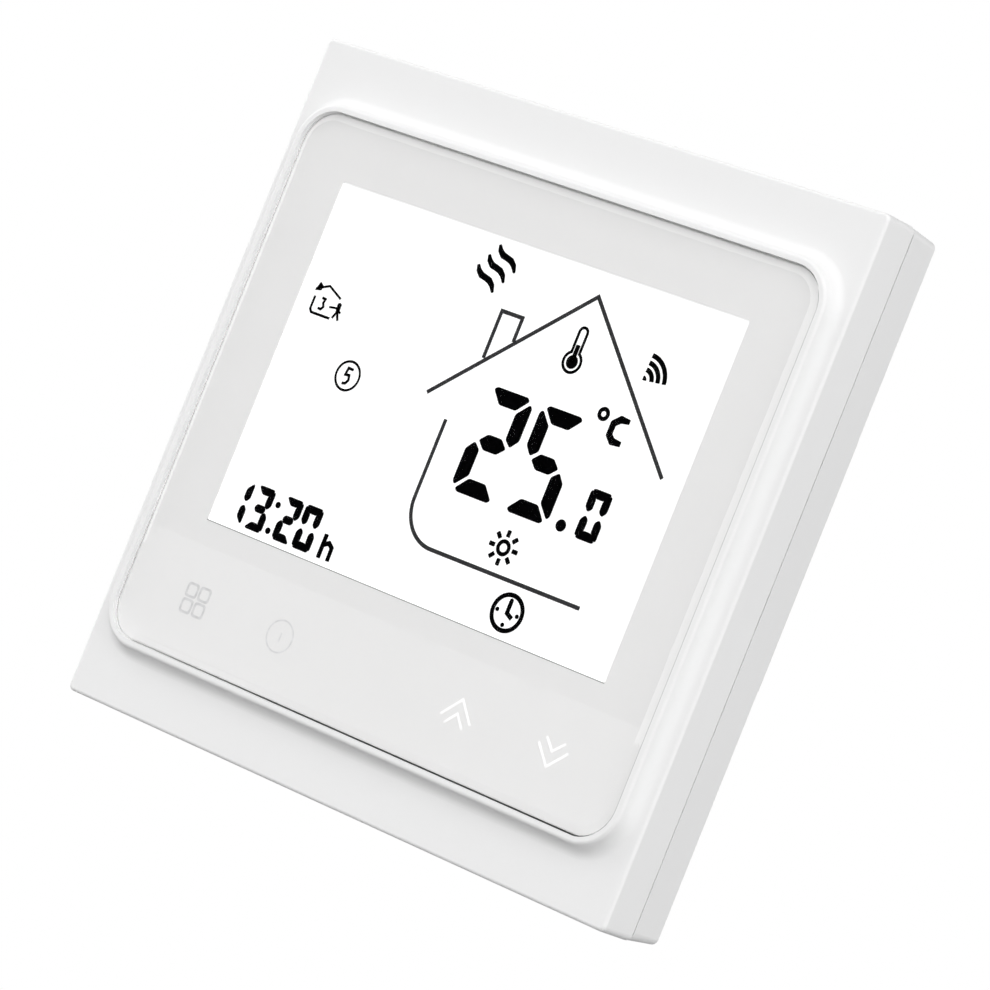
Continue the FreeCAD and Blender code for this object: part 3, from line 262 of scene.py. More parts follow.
def make_wound_wire():
    """Close turns of round wire about an axis, as a height that rises and falls once a turn."""
    tree, given, out = new_group("wound_wire", {"Pitch": 5000.0, "Lie": 0.0}, ["Height", "Gap"])
    axes = add_node(tree, "SeparateXYZ", {"Vector": given["Vector"]}).outputs
    along = worked(tree, "ADD", axes["X"], scaled(tree, axes["Z"], given["Lie"]))
    turn = worked(tree, "FRACT", scaled(tree, along, given["Pitch"]))
    rise = worked(tree, "SINE", scaled(tree, turn, math.pi))
    tree.links.new(rise, out["Height"])
    # Gap marks the low ground between turns: painted shade for the coil, the real dark layers for the zebra
    # rubber.
    tree.links.new(in_steps(tree, rise, 0.5, 0.1), out["Gap"])


class Finish:
    """A material, its Principled shader and the position on the part that its textures follow."""

    def __init__(self, name, **values):
        self.material = bpy.data.materials.new(name)
        self.material.use_nodes = True
        self.tree = self.material.node_tree
        self.shader = self.tree.nodes["Principled BSDF"]
        self.output = self.tree.nodes["Material Output"]
        self.place = add_node(self.tree, "TexCoord").outputs["Object"]
        for socket, value in values.items():
            self.shader.inputs[socket.replace("_", " ")].default_value = value

    def group(self, name, **values):
        made = add_node(self.tree, "Group", node_tree=bpy.data.node_groups[name])
        self.tree.links.new(self.place, made.inputs["Vector"])
        for socket, value in values.items():
            made.inputs[socket].default_value = value
        return made.outputs

    def noise(self, scale, detail=2.0):
        feeds = {"Vector": self.place, "Scale": scale, "Detail": detail}
        return add_node(self.tree, "TexNoise", feeds).outputs["Fac"]

    def cells(self, scale, output="Distance"):
        return add_node(self.tree, "TexVoronoi", {"Vector": self.place, "Scale": scale}).outputs[output]

    def blend(self, mask, first, second):
        return blended(self.tree, mask, first, second)

    def steps(self, value, low, high, to_low=0.0, to_high=1.0):
        return in_steps(self.tree, value, low, high, to_low, to_high)

    def scale(self, value, factor):
        return scaled(self.tree, value, factor)

    def feed(self, socket, value):
        self.tree.links.new(value, self.shader.inputs[socket])

    def rough(self, mask, low, high):
        self.feed("Roughness", self.steps(mask, 0.0, 1.0, low, high))

    def bump(self, height, depth):
        """Height of 0..1 stands for so many metres."""
        feeds = {"Height": height, "Distance": depth, "Strength": 1.0}
        self.feed("Normal", add_node(self.tree, "Bump", feeds).outputs["Normal"])


def mottled(made, pattern, low, high, first, second, smooth, rough, depth):
    """Gives colour, roughness and relief from one pattern; low..high of it carries first to second."""
    made.feed("Base Color", made.blend(made.steps(pattern, low, high), first, second))
    made.rough(pattern, smooth, rough)
    made.bump(pattern, depth)
    return made


def moulding(name, colour, rough, grain=6000.0, depth=4e-6, smear=0.06, dust=0.0, **values):
    """Moulded plastic: grain, slow change of gloss, and a trace of handling."""
    made = Finish(name, **values)
    grained = made.group("moulded_grain", Grain=grain)
    touched = made.group("handling")
    darker = tuple(c * (1 - smear) for c in colour)
    base = made.blend(made.scale(touched["Smear"], 0.6), colour, darker)
    cloudy = tuple(c * 0.97 for c in colour)
    base = made.blend(made.scale(grained["Gloss"], 0.35), base, cloudy)
    if dust:
        base = made.blend(made.scale(touched["Dust"], dust), base, (0.55, 0.53, 0.5))
    made.feed("Base Color", base)
    made.rough(grained["Gloss"], rough - 0.04, rough + 0.05)
    made.bump(grained["Height"], depth)
    return made


def metal(name, colour, rough, along=150.0, across=7000.0, depth=2e-6, tarnish=0.25, **values):
    """Drawn, rolled or plated metal."""
    made = Finish(name, Metallic=1.0, **values)
    drawn = made.group("drawn_metal", Along=along, Across=across)
    dull = tuple(c * 0.72 for c in colour)
    base = made.blend(made.scale(drawn["Tarnish"], tarnish), colour, dull)
    made.feed("Base Color", made.blend(made.scale(drawn["Streak"], 0.12), base, dull))
    made.rough(drawn["Streak"], rough - 0.05, rough + 0.08)
    made.bump(drawn["Height"], depth)
    return made


# -------------------- finishes, one for each material slot

# Colour, roughness and what differs from the usual, for each plain moulding and each plain metal.
MOULDINGS = {
    "white_part": ((0.78, 0.78, 0.765), 0.52, dict(grain=3800.0, depth=8e-6, smear=0.05, dust=0.12)),
    "chip_black": ((0.022, 0.022, 0.024), 0.55, dict(grain=7500.0, depth=9e-6, smear=0.2, dust=0.25)),
    "bead_epoxy": ((0.03, 0.028, 0.026), 0.2, dict(grain=1500.0, depth=1.5e-5, dust=0.2, Coat_Weight=0.5)),
    "terminal_plastic": ((0.03, 0.2, 0.085), 0.46, dict(grain=3200.0, depth=1e-5, smear=0.2, dust=0.25)),
    "relay_clear": ((0.025, 0.03, 0.04), 0.33, dict(grain=4200.0, depth=6e-6, smear=0.2, dust=0.2)),
    "ferrite": ((0.035, 0.034, 0.036), 0.48, dict(grain=5200.0, depth=1.6e-5, smear=0.2, dust=0.3)),
    "bobbin_black": ((0.025, 0.025, 0.025), 0.4, dict(grain=4200.0, depth=7e-6, smear=0.2, dust=0.2)),
    "film_box": ((0.62, 0.5, 0.06), 0.36, dict(grain=3000.0, depth=8e-6, smear=0.12, dust=0.1)),
    "varistor_blue": (
        (0.02, 0.07, 0.3), 0.3, dict(grain=900.0, depth=4e-5, smear=0.1, dust=0.15, Coat_Weight=0.5),
    ),
    "fuse_brown": ((0.16, 0.1, 0.06), 0.45, dict(grain=3600.0, depth=9e-6, smear=0.15, dust=0.15)),
}
METALS = {
    "shield_tin": ((0.72, 0.71, 0.68), 0.3, dict(along=400.0, across=4000.0, tarnish=0.35)),
    "crystal_can": ((0.78, 0.77, 0.75), 0.22, dict(along=260.0, across=6500.0)),
    "spring_steel": ((0.8, 0.77, 0.69), 0.18, dict(along=900.0, across=9000.0)),
    "screw_steel": ((0.7, 0.71, 0.73), 0.27, dict(along=1800.0, across=5200.0, depth=6e-6, tarnish=0.4)),
    "pin_gold": ((0.9, 0.66, 0.28), 0.2, dict(along=800.0, across=8000.0, tarnish=0.2)),
    "terminal_metal": ((0.78, 0.66, 0.42), 0.3, dict(along=500.0, across=5600.0, tarnish=0.5)),
    "clamp_steel": ((0.68, 0.63, 0.5), 0.33, dict(along=700.0, across=4800.0, tarnish=0.55)),
    "yoke_iron": ((0.56, 0.56, 0.57), 0.3, dict(along=300.0, across=5000.0, tarnish=0.4)),
    "contact_metal": ((0.83, 0.52, 0.33), 0.24, dict(along=240.0, across=6400.0, tarnish=0.3)),
}


def finish_white_shell():
    look = bpy.context.scene.shell_finish
    return moulding("white_shell", tuple(look.white), look.shell_rough, grain=5200.0, depth=3.2e-6, smear=0.015)


def let_lamps_through(made, tint):
    """Lets light pass straight through the glass, so that what lies behind it is lit."""
    tree = made.tree
    path = add_node(tree, "LightPath").outputs
    passing = worked(tree, "MAXIMUM", path["Is Shadow Ray"], path["Is Diffuse Ray"])
    clear = add_node(tree, "BsdfTransparent", {"Color": tint})
    mixed = add_node(tree, "MixShader", {0: passing, 1: made.shader.outputs[0], 2: clear.outputs[0]})
    tree.links.new(mixed.outputs[0], made.output.inputs["Surface"])


def finish_lens_clear():
    made = Finish("lens_clear", Transmission_Weight=1.0, IOR=1.49, Metallic=0.0)
    touched = made.group("handling", Spread=28.0)
    made.feed("Base Color", made.blend(touched["Smear"], (0.998, 0.998, 0.998), (0.99, 0.99, 0.99)))
    made.rough(touched["Smear"], 0.012, 0.05)
    let_lamps_through(made, (0.996, 0.996, 0.996, 1.0))
    return made


def finish_mask_print():
    look = bpy.context.scene.shell_finish
    white = tuple(look.film)
    made = Finish("mask_print", Coat_Weight=0.0, Specular_IOR_Level=0.35)
    flakes = made.noise(5200.0, 3.0)
    clouds = made.noise(70.0, 4.0)
    pearl = made.cells(2100.0)
    lit = made.blend(made.steps(flakes, 0.36, 0.64), tuple(c * 0.975 for c in white), white)
    lit = made.blend(made.steps(clouds, 0.3, 0.7, 0.0, 0.5), lit, tuple(c * 0.97 for c in white))
    made.feed("Base Color", lit)
    made.rough(pearl, 0.45, 0.6)
    made.bump(flakes, 6e-7)
    return made


def finish_display_glass():
    light = bpy.context.scene.display_sizes.light
    made = Finish("display_glass", Specular_IOR_Level=0.15, Emission_Strength=light)
    clouds = made.noise(90.0, 3.0)
    paper = made.blend(made.steps(clouds, 0.3, 0.7), (0.93, 0.935, 0.935), (0.95, 0.95, 0.95))
    made.feed("Base Color", paper)
    made.feed("Emission Color", paper)
    made.rough(clouds, 0.28, 0.36)
    made.bump(made.noise(7000.0), 1.5e-6)
    return made


def finish_diffuser():
    made = Finish("diffuser", Transmission_Weight=0.35, IOR=1.49, Metallic=0.0, Emission_Strength=0.25)
    dots = made.cells(900.0)
    mask = made.steps(dots, 0.3, 0.22)
    tone = made.blend(mask, (0.88, 0.9, 0.9), (0.97, 0.97, 0.96))
    made.feed("Base Color", tone)
    made.feed("Emission Color", tone)
    made.rough(mask, 0.12, 0.5)
    made.bump(mask, 1e-5)
    return made


def finish_led_body():
    made = Finish("led_body", Emission_Strength=0.6)
    spots = made.steps(made.cells(420.0), 0.34, 0.26)
    tone = made.blend(spots, (0.85, 0.85, 0.82), (0.9, 0.78, 0.32))
    made.feed("Base Color", tone)
    made.feed("Emission Color", tone)
    made.rough(spots, 0.45, 0.2)
    return made


def finish_zebra_rubber():
    made = Finish("zebra_rubber", Specular_IOR_Level=0.3)
    bands = made.group("wound_wire", Pitch=2600.0)
    made.feed("Base Color", made.blend(bands["Gap"], (0.62, 0.6, 0.6), (0.02, 0.02, 0.02)))
    made.rough(bands["Height"], 0.75, 0.6)
    made.bump(bands["Height"], 1.2e-5)
    return made


def finish_tape_white():
    made = Finish("tape_white", Specular_IOR_Level=0.25)
    return mottled(made, made.cells(2600.0), 0.1, 0.6, (0.62, 0.62, 0.61), (0.74, 0.74, 0.73), 0.7, 0.9, 5e-5)


def finish_board_green():
    made = Finish("board_green", Coat_Weight=0.4, Coat_Roughness=0.12)
    tracks = made.group("etched_tracks")
    weave = made.noise(1500.0, 2.0)
    lacquer = made.blend(made.steps(weave, 0.35, 0.65), (0.012, 0.12, 0.045), (0.016, 0.14, 0.055))
    lacquer = made.blend(tracks["Track"], lacquer, (0.03, 0.23, 0.085))
    lacquer = made.blend(made.scale(tracks["Pour"], 0.7), lacquer, (0.035, 0.25, 0.09))
    made.feed("Base Color", lacquer)
    made.rough(weave, 0.26, 0.4)
    made.bump(worked(made.tree, "ADD", tracks["Track"], made.scale(weave, 0.3)), 3.5e-5)
    return made


def finish_plate_steel():
    """Galvanised sheet, with its crystals."""
    made = metal("plate_steel", (0.66, 0.68, 0.7), 0.34, along=120.0, across=5200.0, tarnish=0.3)
    crystals = made.cells(210.0, "Color")
    facet = add_node(made.tree, "SeparateColor", {"Color": crystals}).outputs["Red"]
    base = made.shader.inputs["Base Color"].links[0].from_socket
    made.feed("Base Color", made.blend(made.scale(facet, 0.35), base, (0.42, 0.44, 0.47)))
    made.rough(facet, 0.24, 0.46)
    return made


def finish_coil_copper():
    """Enamelled wire wound along X."""
    made = Finish("coil_copper", Metallic=0.85, Coat_Weight=0.8, Coat_Roughness=0.08)
    turns = made.group("wound_wire", Pitch=6200.0, Lie=0.02)
    age = made.noise(500.0, 3.0)
    copper = made.blend(made.steps(age, 0.35, 0.65), (0.72, 0.26, 0.1), (0.6, 0.19, 0.07))
    # The gaps between the turns are darkened in the base colour: painted shade in the creases between wires.
    made.feed("Base Color", made.blend(turns["Gap"], copper, (0.12, 0.035, 0.015)))
    made.rough(turns["Height"], 0.42, 0.24)
    made.bump(turns["Height"], 6e-5)
    return made


def finish_winding_tape():
    """Layers of yellow film with their edges showing."""
    made = Finish("winding_tape", Coat_Weight=0.6, Coat_Roughness=0.1)
    layers = made.noise(260.0, 4.0)
    return mottled(made, layers, 0.35, 0.65, (0.78, 0.52, 0.05), (0.62, 0.37, 0.03), 0.2, 0.4, 8e-5)


def finish_can_sleeve():
    """Dark shrink sleeve."""
    made = Finish("can_sleeve", Coat_Weight=0.3, Coat_Roughness=0.15)
    skin = made.noise(1800.0, 3.0)
    return mottled(made, skin, 0.3, 0.7, (0.02, 0.024, 0.07), (0.03, 0.035, 0.1), 0.25, 0.38, 6e-6)


def finish_label_paper():
    """Coated label stock with its fibres."""
    made = Finish("label_paper", Specular_IOR_Level=0.35)
    fibre = made.noise(3200.0, 5.0)
    return mottled(made, fibre, 0.3, 0.7, (0.76, 0.76, 0.74), (0.84, 0.84, 0.82), 0.5, 0.7, 6e-6)


def finish_ink(name, colour, rough=0.55, glow=0.0):
    """Printed ink and darkened liquid crystal, faintly uneven; also the grey painted shadow lines by the window
    and the lens.
    """
    made = Finish(name, Specular_IOR_Level=0.0, Emission_Strength=glow)
    patchy = made.steps(made.noise(1600.0, 3.0), 0.35, 0.65)
    tone = made.blend(patchy, colour, tuple(c * 1.15 for c in colour))
    made.feed("Base Color", tone)
    if glow:
        made.feed("Emission Color", tone)
    made.rough(patchy, rough - 0.05, rough + 0.05)
    return made.material


def finish_painted_shadow_strip():
    """Dark matte finish of the strip of painted shadow below the lens, faintly mottled."""
    made = Finish("painted_shadow_strip", Metallic=0.0)
    mottle = made.noise(2600.0, 3.0)
    made.feed("Base Color", made.blend(mottle, (0.02, 0.02, 0.021), (0.032, 0.032, 0.034)))
    made.rough(mottle, 0.7, 0.85)
    made.bump(mottle, 1.5e-6)
    return made.material


SPECIAL = {make.__name__.removeprefix("finish_"): make for make in (
    finish_white_shell, finish_lens_clear, finish_mask_print, finish_display_glass, finish_diffuser,
    finish_led_body, finish_zebra_rubber, finish_tape_white, finish_board_green, finish_plate_steel,
    finish_coil_copper, finish_winding_tape, finish_can_sleeve, finish_label_paper,
)}


def finish_slot(name):
    """The material of one slot of the record, made on its first use."""
    if name in bpy.data.materials:
        return bpy.data.materials[name]
    for make, rows in ((moulding, MOULDINGS), (metal, METALS)):
        if name in rows:
            colour, rough, values = rows[name]
            return make(name, colour, rough, **values).material
    return SPECIAL[name]().material


def coat(*slots):
    """Gives every part of these material slots its finish."""
    for row in frame["record"]["subparts"]:
        if row["material_slot"] in slots:
            data = NODES[row["node"]].data
            data.materials.clear()
            data.materials.append(finish_slot(row["material_slot"]))


# -------------------- drawing in the plane

def arc_points(u, v, radius, start, stop, count=16):
    """Points round (u, v) from start to stop degrees, anticlockwise as the viewer sees them."""
    angles = [math.radians(start + (stop - start) * n / count) for n in range(count + 1)]
    return [(u + radius * math.cos(a), v + radius * math.sin(a)) for a in angles]


def softened(loop, radius, count=4):
    """A closed line with its corners rounded."""
    rounded = []
    for n, corner in enumerate(loop):
        here = Vector(corner)
        before, after = Vector(loop[n - 1]) - here, Vector(loop[(n + 1) % len(loop)]) - here
        reach_in = here + before.normalized() * min(radius, before.length * 0.45)
        reach_out = here + after.normalized() * min(radius, after.length * 0.45)
        for step in range(count + 1):
            t = step / count
            rounded.append(tuple(reach_in * (1 - t) ** 2 + here * (2 * t * (1 - t)) + reach_out * t**2))
    return rounded


def ribbon(points, widths):
    """The outline of a stroke along an open line, mitred at its turns."""
    if not isinstance(widths, (list, tuple)):
        widths = [widths] * len(points)
    path = [Vector(p) for p in points]
    left, right = [], []
    for n, here in enumerate(path):
        before = (here - path[n - 1]).normalized() if n else None
        after = (path[n + 1] - here).normalized() if n + 1 < len(path) else None
        along = ((before or after) + (after or before)).normalized()
        side = Vector((-along.y, along.x))
        square = Vector((-(after or before).y, (after or before).x))
        half = widths[n] / 2 / max(side.dot(square), 0.4)
        left.append(tuple(here + side * half))
        right.append(tuple(here - side * half))
    return left + right[::-1]


class Drawing:
    """Flat figures of one thickness, drawn in millimetres from a corner, u rightwards and v upwards."""

    def __init__(self, left, low):
        self.left, self.low = left, low
        self.front, self.faces = [], []

    def add_loop(self, loop):
        first = len(self.front)
        self.front += [(self.left + u * MM, self.low + v * MM) for u, v in loop]
        return list(range(first, len(self.front)))

    def solid(self, loop, radius=0.0):
        self.faces.append(("solid", self.add_loop(softened(loop, radius) if radius else loop)))

    def stroke(self, points, width, radius=0.0):
        self.solid(ribbon(points, width), radius)

    def disc(self, u, v, radius):
        self.solid(arc_points(u, v, radius, 0, 360 - 360 / 28, 27))

    def hoop(self, outer, inner):
        self.faces.append(("hoop", self.add_loop(outer), self.add_loop(inner)))

    def ring(self, u, v, radius, width):
        turn = (0, 360 - 360 / 48, 47)
        outer, inner = radius + width / 2, radius - width / 2
        self.hoop(arc_points(u, v, outer, *turn), arc_points(u, v, inner, *turn))

    def build(self, name, height, thick, material, body, slot):
        """The mesh, with its front at height and reaching thick behind it."""
        count = len(self.front)
        points = [(x, -height, z) for x, z in self.front] + [(x, thick - height, z) for x, z in self.front]
        faces = []
        for kind, outer, *rest in self.faces:
            loops = [outer] + rest
            if kind == "solid":
                faces += [tuple(outer), tuple(n + count for n in reversed(outer))]
            else:
                inner = rest[0]
                for n, here in enumerate(outer):
                    after = (n + 1) % len(outer)
                    quad = (here, outer[after], inner[after], inner[n])
                    faces += [quad, tuple(p + count for p in reversed(quad))]
            for loop in loops:
                for n, here in enumerate(loop):
                    ahead = loop[(n + 1) % len(loop)]
                    faces.append((here, here + count, ahead + count, ahead))
        return put_mesh(name, points, faces, material, body)


def put_mesh(name, points, faces, material, body):
    """A piece made of points and faces, wound outwards, that rides on a body."""
    data = bpy.data.meshes.new(name)
    data.from_pydata([tuple(p) for p in points], [], faces)
    shape = bmesh.new()
    shape.from_mesh(data)
    bmesh.ops.recalc_face_normals(shape, faces=shape.faces)
    shape.to_mesh(data)
    shape.free()
    for face in data.polygons:
        face.use_smooth = False
    data.materials.append(material)
    piece = bpy.data.objects.new(name, data)
    bpy.context.scene.collection.objects.link(piece)
    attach(piece, body)
    return piece


# -------------------- display figures

SEGMENTS = {"0": "abcdef", "1": "bc", "2": "abdeg", "3": "abcdg", "5": "acdfg"}


def segment_shapes(wide, tall, thick, gap):
    """The seven bars of a digit, from its lower left corner, with slanting gaps between them."""
    tip, middle = gap * thick, tall / 2
    top = [
        (tip, tall - 0.2 * thick), (tip + 0.2 * thick, tall), (wide - tip - 0.2 * thick, tall),
        (wide - tip, tall - 0.2 * thick), (wide - tip - 0.75 * thick, tall - thick),
        (tip + 0.75 * thick, tall - thick),
    ]
    upper_right = [
        (wide - 0.2 * thick, tall - tip), (wide, tall - tip - 0.2 * thick), (wide, middle + 0.72 * thick),
        (wide - 0.5 * thick, middle + 0.16 * thick), (wide - thick, middle + 0.56 * thick),
        (wide - thick, tall - tip - 0.8 * thick),
    ]
    end, shoulder = (gap + 0.34) * thick, (2.5 * gap + 0.34) * thick
    centre = [
        (end, middle), (shoulder, middle + 0.5 * thick), (wide - shoulder, middle + 0.5 * thick),
        (wide - end, middle), (wide - shoulder, middle - 0.5 * thick), (shoulder, middle - 0.5 * thick),
    ]
    across = lambda bar: [(wide - u, v) for u, v in bar]
    down = lambda bar: [(u, tall - v) for u, v in bar]
    return {
        "a": top, "b": upper_right, "c": down(upper_right), "d": down(top), "e": down(across(upper_right)),
        "f": across(upper_right), "g": centre,
    }


def draw_digit(drawing, figure, u, v, wide, tall, thick, gap=0.36):
    """A digit with its lower left corner at (u, v)."""
    shapes = segment_shapes(wide, tall, thick, gap)
    for bar in SEGMENTS[figure]:
        drawing.solid([(u + a, v + b) for a, b in shapes[bar]], radius=0.05 * thick / gap)


WINDOW_TALL = 45.8


def window_corner():
    """Lower left corner of the display window."""
    sizes = bpy.context.scene.display_sizes
    low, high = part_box("display_cell")
    top = high.z - sizes.window_above
    return low.x + sizes.window_side, top - WINDOW_TALL * MM


def figures_front():
    """Height of the front of the drawn figures, just in front of the display glass."""
    return -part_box("display_cell")[0].y + FIGURE_AHEAD


def build_figures(drawing, name, ink=None):
    """The drawing as a piece on the display glass, in the dark ink unless another is given."""
    sizes = bpy.context.scene.display_sizes
    ink = ink or bpy.data.materials.get("display_ink") or finish_ink("display_ink", tuple(sizes.ink))
    return drawing.build(name, figures_front(), sizes.figure_thick, ink, "front_panel", "display_glass")


def from_top(points):
    """Points given downwards from the top of the window, turned to the drawing's upward measure."""
    return [(u, WINDOW_TALL - v) for u, v in points]


class Step:
    """What all the operators share."""

    bl_options = {"REGISTER", "UNDO"}

    def execute(self, context):
        self.make(context.scene)
        return {"FINISHED"}


class THERMOSTAT_OT_temperature(Step, bpy.types.Operator):
    """Draws the large temperature, its decimal and its unit"""

    bl_idname = "thermostat.temperature"
    bl_label = "Temperature"

    def make(self, scene):
        drawing = Drawing(*window_corner())
        for figure, left in (("2", 33.67), ("5", 42.08)):
            draw_digit(drawing, figure, left, WINDOW_TALL - 31.1, 7.2, 13.7, 2.05)
        drawing.disc(51.25, WINDOW_TALL - 30.35, 0.76)
        draw_digit(drawing, "0", 53.5, WINDOW_TALL - 31.1, 3.35, 6.35, 1.16, gap=0.2)
        drawing.ring(51.0, WINDOW_TALL - 16.1, 0.62, 0.54)
        bowl = from_top(
            [(55.05, 16.0), (53.75, 16.0), (52.85, 16.75), (52.85, 18.2), (53.6, 18.85), (54.95, 18.85)]
        )
        drawing.stroke(bowl, [0.62, 0.95, 0.88, 0.88, 0.95, 0.66], radius=0.1)
        build_figures(drawing, "temperature_figures")


class THERMOSTAT_OT_clock_figures(Step, bpy.types.Operator):
    """Draws the time of day and the two period marks"""

    bl_idname = "thermostat.clock_figures"
    bl_label = "Clock Figures"

    def make(self, scene):
        drawing = Drawing(*window_corner())
        low = WINDOW_TALL - 44.95
        for figure, left in (("1", 2.2), ("3", 5.8), ("2", 10.65), ("0", 14.05)):
            draw_digit(drawing, figure, left, low, 3.05, 5.75, 1.06, gap=0.2)
        for v in (40.75, 44.2):
            drawing.disc(9.8, WINDOW_TALL - v, 0.42)
        drawing.stroke(from_top([(18.75, 41.8), (18.75, 44.95)]), 0.66, radius=0.1)
        shoulder = from_top([(18.75, 43.25), (19.6, 42.75), (20.25, 43.2), (20.3, 44.95)])
        drawing.stroke(shoulder, 0.62, radius=0.1)
        drawing.ring(12.38, WINDOW_TALL - 22.62, 1.86, 0.32)
        five = from_top([
            (12.95, 21.7), (12.1, 21.65), (11.95, 22.55), (12.6, 22.5), (12.75, 23.1), (12.45, 23.6),
            (11.9, 23.7),
        ])
        drawing.stroke(five, 0.36, radius=0.06)
        build_figures(drawing, "clock_figures")
        mark = Drawing(*window_corner())
        self.draw_home(mark)
        build_figures(mark, "home_mark")

    def draw_home(self, mark):
        """A small house with a step number and someone leaving it."""
        mark.stroke(from_top([(2.35, 13.75), (4.35, 12.85), (6.75, 13.95)]), 0.3)
        mark.stroke(from_top([(2.7, 14.6), (2.7, 16.35), (3.05, 16.72), (6.2, 16.72)]), 0.34, radius=0.05)
        mark.solid(from_top([(2.75, 12.7), (3.4, 13.1), (3.3, 13.75), (2.3, 13.95)]), radius=0.08)
        three = from_top([(3.9, 14.55), (4.5, 14.6), (4.35, 15.15), (4.6, 15.6), (4.3, 16.0), (3.8, 15.95)])
        mark.stroke(three, 0.34, radius=0.05)
        mark.disc(6.95, WINDOW_TALL - 14.75, 0.34)
        mark.stroke(from_top([(6.95, 14.9), (7.05, 15.75)]), 0.62, radius=0.1)
        mark.stroke(from_top([(7.0, 15.6), (7.55, 16.65)]), 0.34)
        mark.stroke(from_top([(6.95, 15.6), (6.55, 16.55)]), 0.32)
        mark.stroke(from_top([(5.5, 15.35), (6.6, 15.2), (7.55, 15.65)]), 0.28)


class THERMOSTAT_OT_house(Step, bpy.types.Operator):
    """Draws the house outline with its chimney"""

    bl_idname = "thermostat.house"
    bl_label = "House Outline"

    def make(self, scene):
        drawing = Drawing(*window_corner())
        line = scene.display_sizes.line / MM
        drawing.stroke(from_top([(24.95, 21.05), (43.83, 3.08), (62.35, 20.95)]), line)
        floor = arc_points(34.45, WINDOW_TALL - 33.6, 5.2, 180, 270)
        drawing.stroke([(29.25, WINDOW_TALL - 23.35)] + floor + from_top([(58.3, 38.72)]), line)
        drawing.stroke(from_top([(31.05, 14.75), (31.05, 8.55), (34.4, 8.55), (34.4, 11.7)]), line)
        build_figures(drawing, "house_outline", finish_ink("outline_ink", tuple(scene.display_sizes.outline)))


class THERMOSTAT_OT_symbols(Step, bpy.types.Operator):
    """Draws the heat, thermometer, signal, sun and clock symbols"""

    bl_idname = "thermostat.symbols"
    bl_label = "Symbols"

    def make(self, scene):
        drawing = Drawing(*window_corner())
        self.draw_heat(drawing)
        self.draw_thermometer(drawing)
        self.draw_signal(drawing)
        self.draw_sun(drawing)
        self.draw_clock(drawing)
        build_figures(drawing, "display_symbols")

    def draw_heat(self, drawing):
        wave = [
            (27.0, 0.95), (27.35, 1.6), (28.0, 2.1), (28.75, 2.25), (29.5, 2.45), (30.15, 2.95), (30.6, 3.75),
        ]
        widths = [0.4, 0.72, 0.86, 0.82, 0.84, 0.72, 0.36]
        for n in range(3):
            drawing.stroke(from_top([(u - 1.0 * n, v + 1.57 * n) for u, v in wave]), widths, radius=0.08)

    def draw_thermometer(self, drawing):
        u, bulb, cap = 43.75, WINDOW_TALL - 11.55, WINDOW_TALL - 7.75
        outline = []
        for radius, half in ((1.5, 0.8), (1.12, 0.42)):
            start = 90 - math.degrees(math.asin(half / radius))
            round_bulb = arc_points(u, bulb, radius, start, -180 - start, 30)
            outline.append(round_bulb + arc_points(u, cap, half, 180, 0, 10))
        drawing.hoop(*outline)
        drawing.disc(u, bulb, 0.86)
        drawing.stroke([(u, bulb), (u, WINDOW_TALL - 9.35)], 0.62, radius=0.12)

    def draw_signal(self, drawing):
        u, v = 54.35, WINDOW_TALL - 10.75
        for radius in (3.2, 2.25, 1.35):
            drawing.stroke(arc_points(u, v, radius, 6, 88, 12), 0.62)
        drawing.solid([(u, v)] + arc_points(u, v, 0.62, 6, 88, 6))

    def draw_sun(self, drawing):
        u, v = 44.6, WINDOW_TALL - 35.35
        drawing.ring(u, v, 0.8, 0.52)
        for n in range(8):
            turn = math.radians(45 * n)
            ray = [(u + r * math.cos(turn), v + r * math.sin(turn)) for r in (1.36, 2.25)]
            drawing.stroke(ray, 0.58, radius=0.1)

    def draw_clock(self, drawing):
        u, v = 48.7, WINDOW_TALL - 42.4
        drawing.ring(u, v, 2.22, 0.58)
        drawing.stroke([(u, v + 1.5), (u, v - 0.05), (u + 0.95, v - 0.5)], 0.6)
        for n in range(4):
            turn = math.radians(90 * n)
            drawing.disc(u + 1.55 * math.cos(turn), v + 1.55 * math.sin(turn), 0.28)


